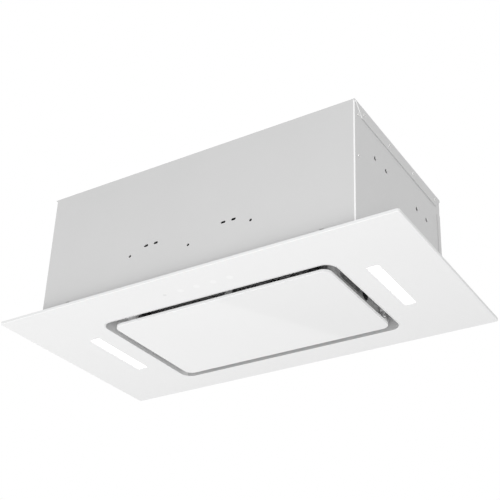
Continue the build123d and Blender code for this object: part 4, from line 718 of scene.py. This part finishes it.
class HOOD_OT_glass(bpy.types.Operator):
    """White back-painted glass with its ground edges and printed touch marks"""
    bl_idname = "hood.glass"
    bl_label = "Glass"

    def execute(self, context):
        colours, marks = context.scene.hood_colours, context.scene.hood_marks
        material, tree, shader = start_material("White glass", IOR=1.52)
        coords = put(tree, "ShaderNodeTexCoord").outputs
        place = put(tree, "ShaderNodeSeparateXYZ", {0: coords["Object"]}).outputs
        facing = put(tree, "ShaderNodeSeparateXYZ", {0: coords["Normal"]}).outputs
        edge = maths(tree, "LESS_THAN", maths(tree, "ABSOLUTE", facing[2]), 0.5)
        painted = maths(tree, "GREATER_THAN", facing[2], 0.5)
        face = effect(tree, "Rolled sheet", coords["Object"], opaque(colours.glass), 0.02, 0.03, 0.02)
        tone = self.print_marks(tree, place, face["Colour"], colours, marks)
        # Edge tone: partly the ground edge's own colour, partly painted shade against the extra light on
        # the edges.
        tone = blend_colours(tree, edge, tone, opaque(colours.glass_edge))

        etched = maths(tree, "SUBTRACT", 1.0, inside(tree, place, *CENTRE_GLASS))
        etched = maths(tree, "MULTIPLY", maths(tree, "MAXIMUM", painted, etched), SATIN)
        rough = maths(tree, "ADD", maths(tree, "ADD", face["Roughness"], etched),
                      maths(tree, "MULTIPLY", edge, GROUND))
        # Painted light: the glass edges round the gap glow by emission, though they are no lamp.
        painted_glow_mask = maths(tree, "MULTIPLY", edge, inside(tree, place, *GAP_ROUND))
        glow = maths(tree, "MULTIPLY", painted_glow_mask, marks.painted_edge_light)
        feed(tree, shader, {"Base Color": tone, "Roughness": rough, "Emission Strength": 1.0,
                            "Emission Color": axes(tree, X=glow, Y=glow, Z=glow)})
        dress(material, "outer_glass", "centre_glass")
        return {"FINISHED"}

    def print_marks(self, tree, place, tone, colours, marks):
        """Lays the row of touch marks over a tone."""
        along = maths(tree, "ADD", place[0], (marks.count - 1) / 2 * marks.pitch)
        column = maths(tree, "ROUND", maths(tree, "DIVIDE", along, marks.pitch))
        column = maths(tree, "MINIMUM", maths(tree, "MAXIMUM", column, 0.0), marks.count - 1.0)
        aside = maths(tree, "SUBTRACT", along, maths(tree, "MULTIPLY", column, marks.pitch))
        off_row = maths(tree, "SUBTRACT", place[1], TOUCH_Y * MM)
        gap = maths(tree, "SQRT", maths(tree, "ADD", maths(tree, "POWER", aside, 2.0),
                                        maths(tree, "POWER", off_row, 2.0)))
        first = maths(tree, "LESS_THAN", column, 0.5)
        disc = maths(tree, "MULTIPLY", maths(tree, "LESS_THAN", gap, marks.radius),
                     maths(tree, "SUBTRACT", 1.0, first))
        dot = maths(tree, "MULTIPLY", maths(tree, "LESS_THAN", gap, marks.dot_radius), first)
        tone = blend_colours(tree, disc, tone, opaque(colours.mark))
        return blend_colours(tree, dot, tone, opaque(colours.dot))


class HOOD_OT_casing(bpy.types.Operator):
    """Casing sheets, corner angles and clips, and blind rivets with their mandrel holes"""
    bl_idname = "hood.casing"
    bl_label = "Casing"

    def execute(self, context):
        colours = context.scene.hood_colours
        sheet = finish_material("Casing sheet", "Rolled sheet", colours.casing, 0.05, 0.42, 0.08,
                                bump=0.12, depth=0.02, wear=0.02)
        # Painted highlight on the bends of the casing sheet.
        paint_bend_highlight(sheet, colours.bend)
        dress(sheet, "casing_wrap", "rear_wall", "top_cover")
        dress(finish_material("Zinc plate", "Zinc spangle", colours.zinc, 0.25, 0.38, 0.15,
                              Metallic=0.9),
              "corner_angles", "motor_bracket", "capacitor_clip")
        dress(finish_material("Spring steel", "Brushed lines", colours.spring, 0.3, 0.3, 0.15,
                              Metallic=1.0),
              "glass_clips")
        dress(finish_material("Foam seal", "Foam cells", colours.foam, 0.4, 0.9, 0.1, bump=0.7,
                              depth=0.4),
              "rim_seal", "filter_seal")
        dress(finish_material("Bright steel", "Plated metal", colours.bright, 0.15, 0.25, 0.15,
                              Metallic=1.0),
              "tray_nuts", "motor_shaft", "motor_bearings", "hinge_pins", "flap_pins")
        cover_z = 181.5
        spots = []
        for side in (-1, 1):
            # Cover to the walls, then front corner angles to the wrap
            spots += [((side * 240.0, y, cover_z), (side, 0, 0)) for y in (-117.0, -44.5, 28.0, 100.5)]
            spots += [((side * 239.0, -131.5, z), (side, 0, 0)) for z in (173.5, 111.7)]
        # Cover to the rear wall
        spots += [((x, 118.5, cover_z), (0, 1, 0)) for x in (-180.0, -60.0, 60.0, 180.0)]
        head = lathe("rivet", [(radius * MM, z * MM) for radius, z in RIVET])
        seat(set_heads("blind_rivets", spots, head, 1), "casing_rivets")
        return {"FINISHED"}


class HOOD_OT_trays(bpy.types.Operator):
    """Brushed steel of the recess, the sub-frame and the centre panel's tray and hinges"""
    bl_idname = "hood.trays"
    bl_label = "Trays and hinges"

    def execute(self, context):
        colours = context.scene.hood_colours
        steel = finish_material("Brushed steel", "Brushed lines", colours.steel, 0.18, 0.3, 0.2,
                                bump=0.08, depth=0.02, wear=0.06, Metallic=0.1)
        # Painted light and shade on the trays: lighter level faces, darker faces across Y.
        paint_light_by_face(steel, colours.steel_flat_lit, colours.steel_across_shaded)
        dress(steel, "recess_tray", "panel_tray", "glass_subframe", "strikers")
        across = finish_material("Pressed steel", "Brushed lines", colours.steel, 0.15, 0.34, 0.2,
                                 turn=(0, 0, math.pi / 2), Metallic=0.5)
        dress(across, "hinge_arms", "hinge_brackets", "latch_keepers")
        return {"FINISHED"}


class HOOD_OT_filter(bpy.types.Operator):
    """Grease filter: pressed foil frame, layers of expanded metal and the springs of its latches"""
    bl_idname = "hood.filter"
    bl_label = "Grease filter"

    def execute(self, context):
        colours = context.scene.hood_colours
        dress(finish_material("Filter foil", "Brushed lines", colours.foil, 0.2, 0.35, 0.2,
                              Metallic=0.5),
              "filter_frame")
        woven = finish_material("Expanded metal", "Plated metal", colours.mesh, 0.35, 0.4, 0.2,
                                Metallic=0.5)
        self.add_mesh(context.scene.hood_mesh, woven)
        for side, name in ((-1, "left"), (1, "right")):
            self.add_spring(side, name)
        return {"FINISHED"}

    def add_mesh(self, sizes, woven):
        """An outer and an inner layer, over the bottom and round the four sides."""
        middle = (FILTER_LOW + FILTER_HIGH) / 2
        inset, apart = 1.4, 1.6
        half_x = (FILTER_HIGH.x - FILTER_LOW.x) / 2 - inset
        half_y = (FILTER_HIGH.y - FILTER_LOW.y) / 2 - inset
        wall, wall_z = 15.6, middle.z + 0.1
        # The inner layer ends short of the latches when they are pushed in
        panels = [
            (300, 2 * half_y - 2, (0, middle.y, FILTER_LOW.z + 1.2), (0, 0, 0), False),
            (2 * half_y - 4, 290, (0, middle.y, FILTER_LOW.z + 3.0), (0, 0, 90), True),
        ]
        for side in (-1, 1):
            panels += [
                (2 * half_x - 4, wall, (0, middle.y + side * half_y, wall_z), (90, 0, 0), False),
                (2 * half_x - 8, wall, (0, middle.y + side * (half_y - apart), wall_z), (90, 0, 0), True),
                (66, wall, (side * half_x, 0, wall_z), (90, 0, 90), False),
                (70, wall, (side * (half_x - apart), 0, wall_z), (90, 0, 90), True),
            ]
        tree = filter_pack_tree(expanded_metal_tree(), panels)
        piece = grow("expanded_mesh", tree,
                     {"Cell Length": sizes.cell_length, "Cell Width": sizes.cell_width,
                      "Inner Cell Length": sizes.inner_cell_length,
                      "Inner Cell Width": sizes.inner_cell_width, "Strand": sizes.strand,
                      "Thickness": sizes.thickness, "Material": woven})
        seat(piece, "filter_mesh")

    def add_spring(self, side, name):
        """The spring that a latch shortens when it is pushed in."""
        x, y, z = SPRING_SEAT
        spring = set_coils(f"latch_coil_{name}", [((0, 0, 0), (0, 0, 1))], (5.0, 5.0), SPRING_WIRE,
                           4.0, 8.2)
        spring.data.transform(Matrix.Translation(Vector((side * (x + SPRING_WIRE), y, z)) * MM)
                              @ Matrix.Rotation(side * math.pi / 2, 4, "Y"))
        seat(shade_smooth(spring, 60.0), f"latch_spring_{name}")
        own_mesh(spring)


class HOOD_OT_plastics(bpy.types.Operator):
    """Moulded plastics of the blower, the latches, the lamps and the boxes"""
    bl_idname = "hood.plastics"
    bl_label = "Plastics"

    def execute(self, context):
        colours = context.scene.hood_colours
        dress(finish_material("Black plastic", "Moulded grain", colours.black, 0.2, 0.42, 0.15,
                              bump=0.25),
              "latch_left", "latch_right", "scroll_left", "scroll_right", "inlet_rings",
              "outlet_collar", "flap_rest_bar", "flap_front", "flap_rear", "cable_gland",
              "gland_nut", "panel_magnets")
        dress(finish_material("Grey plastic", "Moulded grain", colours.grey, 0.1, 0.45, 0.1, bump=0.2),
              "control_box", "control_box_lid", "impeller_disc", "impeller_blades", "impeller_rings",
              "terminal_block")
        dress(finish_material("White plastic", "Moulded grain", colours.white, 0.05, 0.4, 0.1,
                              bump=0.2),
              "lamp_housing_left", "lamp_housing_right", "touch_cover", "capacitor")
        dress(finish_material("Black rubber", "Moulded grain", colours.rubber, 0.3, 0.7, 0.1, bump=0.3),
              "motor_bushes")
        dress(finish_material("Motor can", "Rolled sheet", colours.motor, 0.15, 0.4, 0.15,
                              Metallic=0.6),
              "motor")
        return {"FINISHED"}


class HOOD_OT_lamps(bpy.types.Operator):
    """Lit opal diffusers and the circuit boards"""
    bl_idname = "hood.lamps"
    bl_label = "Lamps and boards"

    def execute(self, context):
        colours = context.scene.hood_colours
        lit = self.lit_material(colours.lamp)
        for side, name in ((-1, "left"), (1, "right")):
            lens = recessed_lens(f"lamp_lens_{name}", side * LAMP_X)
            lens.data.materials.append(lit)
            seat(lens, f"lamp_diffuser_{name}")
        dress(self.board_material(colours.board), "lamp_boards", "touch_board", "control_board")
        return {"FINISHED"}

    def lit_material(self, rgb):
        """A faint wave of light over the row of diodes."""
        material, tree, shader = start_material("Lit diffuser", **{"Roughness": 0.25,
                                                                  "Emission Strength": 1.6})
        coords = put(tree, "ShaderNodeTexCoord").outputs["Object"]
        place = put(tree, "ShaderNodeSeparateXYZ", {0: coords}).outputs
        along = maths(tree, "SUBTRACT", place[1], LAMP_Y * MM)
        wave = maths(tree, "COSINE", maths(tree, "MULTIPLY", along, 2 * math.pi / (LED_PITCH * MM)))
        glow = maths(tree, "ADD", maths(tree, "MULTIPLY", wave, -0.03), 0.97)
        light = put(tree, "ShaderNodeVectorMath", {0: opaque(rgb)[:3], "Scale": glow},
                    operation="SCALE").outputs[0]
        feed(tree, shader, {"Emission Color": light, "Base Color": light})
        return material

    def board_material(self, rgb):
        """Solder mask over a maze of copper tracks."""
        material, tree, shader = start_material("Circuit board")
        vector = object_vector(tree)
        tracks = put(tree, "ShaderNodeTexBrick",
                     {"Vector": vector, "Scale": 180.0, "Color1": opaque(rgb, 1.5),
                      "Color2": opaque(rgb), "Mortar": opaque(rgb, 2.6),
                      "Mortar Size": 0.03}).outputs["Color"]
        over = effect(tree, "Handling marks", vector, tracks, 0.1, 0.35, 0.1)
        feed(tree, shader, {"Base Color": over["Colour"], "Roughness": over["Roughness"]})
        return material


class HOOD_OT_screws(bpy.types.Operator):
    """Cross-recessed screws of the outlet collar and the motor bracket"""
    bl_idname = "hood.screws"
    bl_label = "Screws"

    def execute(self, context):
        # Round the flange of the collar, heads up
        ring = bolt_circle(79.6, 45, 135, 225, 315)
        spots = [((x, 14 + y, 193.0), (0, 0, 1)) for x, y in ring]
        head = cross_head("collar_screw", 4.0, 2.4, 1.9, 10.0)
        seat(set_heads("collar_screw_set", spots, head, 2), "collar_screws")

        # Through the arms of the motor bracket, heads to the left
        ring = bolt_circle(50.6, 15, 135, 255)
        spots = [((-62.0, -26.5 + y, 113.5 + z), (-1, 0, 0)) for y, z in ring]
        head = cross_head("motor_screw", 3.2, 2.2, 1.5, 13.0)
        seat(set_heads("motor_screw_set", spots, head, 3), "motor_screws")
        return {"FINISHED"}


class HOOD_OT_sensors(bpy.types.Operator):
    """Springs between the touch board and the glass"""
    bl_idname = "hood.sensors"
    bl_label = "Touch sensors"

    def execute(self, context):
        marks = context.scene.hood_marks
        row = [(n - (marks.count - 1) / 2) * marks.pitch / MM for n in range(marks.count)]
        spots = [((x, TOUCH_Y, 5.8), (0, 0, 1)) for x in row]
        piece = set_coils("sensor_springs", spots, (3.6, 3.0), 0.25, 5.0, 5.9)
        seat(shade_smooth(piece, 60.0), "touch_pads")
        return {"FINISHED"}


class HOOD_OT_stage(bpy.types.Operator):
    """Pale floor, soft lamps, even light and the photograph's camera"""
    bl_idname = "hood.stage"
    bl_label = "Stage"

    def execute(self, context):
        stage = context.scene.hood_stage
        self.add_floor(stage.floor, -1.9, 9.0)
        self.add_lamp("corner_lamp", (2.3, -1.34, 1.36), stage.bend_light, 0.9)
        self.add_lamp("lower_lamp", (-0.6, -0.8, -1.7), stage.under, 2.4)
        self.add_lamp("near_lamp", (0.95, -1.5, -0.9), stage.near, 0.6)
        # Shines straight up behind the hood; its edge is the diagonal in the centre glass
        self.add_lamp("rear_window", (-1.908, 2.43, -1.2), stage.window, 1.6,
                      (math.pi, 0.0, math.radians(61.5)))
        self.add_sky(context.scene, stage.sky)
        self.add_camera(context.scene, stage)
        context.scene.view_settings.view_transform = "Standard"
        return {"FINISHED"}

    def add_floor(self, rgb, z, half):
        mesh = bpy.data.meshes.new("studio_floor")
        mesh.from_pydata([(-half, -half, z), (half, -half, z), (half, half, z), (-half, half, z)], [],
                         [(0, 1, 2, 3)])
        mesh.materials.append(finish_material("Studio floor", "Rolled sheet", rgb, 0.02, 0.8, 0.05,
                                              wear=0.0))
        add_object("studio_floor", mesh)

    def add_lamp(self, name, place, watts, size, turn=None):
        """A square lamp, aimed at the hood unless a turn is given."""
        lamp = bpy.data.lights.new(name, "AREA")
        lamp.energy, lamp.size = watts, size
        holder = add_object(name, lamp)
        holder.location = place
        aim = Vector((0.0, 0.0, 0.08)) - Vector(place)
        holder.rotation_euler = turn or aim.to_track_quat("-Z", "Y").to_euler()

    def add_sky(self, scene, strength):
        """Even light, which the camera, metal and glass see as plain white."""
        world = bpy.data.worlds.new("Studio sky")
        world.use_nodes = True
        tree = world.node_tree
        tree.nodes.clear()
        path = put(tree, "ShaderNodeLightPath").outputs
        seen = maths(tree, "MAXIMUM", path["Is Camera Ray"],
                     maths(tree, "MAXIMUM", path["Is Glossy Ray"], path["Is Transmission Ray"]))
        even, white = (put(tree, "ShaderNodeBackground", {"Color": (1, 1, 1, 1), "Strength": level})
                       for level in (strength, 1.0))
        both = put(tree, "ShaderNodeMixShader", {0: seen, 1: even.outputs[0], 2: white.outputs[0]})
        put(tree, "ShaderNodeOutputWorld", {0: both.outputs[0]})
        scene.world = world

    def add_camera(self, scene, stage):
        a, e, r = stage.azimuth, stage.elevation, stage.roll
        back = Vector((math.sin(a) * math.cos(e), -math.cos(a) * math.cos(e), math.sin(e)))
        right = Vector((math.cos(a), math.sin(a), 0))
        up = back.cross(right)
        rolled_right = right * math.cos(r) + up * math.sin(r)
        rolled_up = up * math.cos(r) - right * math.sin(r)
        lens = bpy.data.cameras.new("Camera")
        lens.sensor_width, lens.lens = 36.0, stage.lens
        lens.shift_x, lens.shift_y = SHIFT
        lens.clip_start, lens.clip_end = 0.05, 60.0
        camera = add_object("Camera", lens)
        axes_matrix = Matrix((rolled_right, rolled_up, back)).transposed().to_4x4()
        place = Vector(TARGET) * MM + back * stage.distance
        camera.matrix_world = Matrix.Translation(place) @ axes_matrix
        scene.camera = camera


GROUPS = (
    ("hood_colours", HoodColours),
    ("hood_mesh", HoodMesh),
    ("hood_marks", HoodMarks),
    ("hood_stage", HoodStage),
)
STEPS = (
    HOOD_OT_glass, HOOD_OT_casing, HOOD_OT_trays, HOOD_OT_filter, HOOD_OT_plastics, HOOD_OT_lamps,
    HOOD_OT_screws, HOOD_OT_sensors, HOOD_OT_stage,
)


class HOOD_PT_panel(bpy.types.Panel):
    """Range hood tools"""
    bl_idname = "HOOD_PT_panel"
    bl_label = "Range hood"
    bl_space_type = "VIEW_3D"
    bl_region_type = "UI"
    bl_category = "Range hood"

    def draw(self, context):
        for step in STEPS:
            self.layout.operator(step.bl_idname)
        for name, group in GROUPS:
            box = self.layout.box()
            box.label(text=group.__doc__.rstrip("."))
            for key in group.__annotations__:
                box.prop(getattr(context.scene, name), key)


def register():
    for name, group in GROUPS:
        bpy.utils.register_class(group)
        setattr(bpy.types.Scene, name, PointerProperty(type=group))
    for step in STEPS:
        bpy.utils.register_class(step)
    bpy.utils.register_class(HOOD_PT_panel)


def unregister():
    bpy.utils.unregister_class(HOOD_PT_panel)
    for step in reversed(STEPS):
        bpy.utils.unregister_class(step)
    for name, group in reversed(GROUPS):
        delattr(bpy.types.Scene, name)
        bpy.utils.unregister_class(group)


def main():
    register()
    for step in STEPS:
        family, operation = step.bl_idname.split(".")
        getattr(getattr(bpy.ops, family), operation)()


if __name__ == "__main__":
    main()
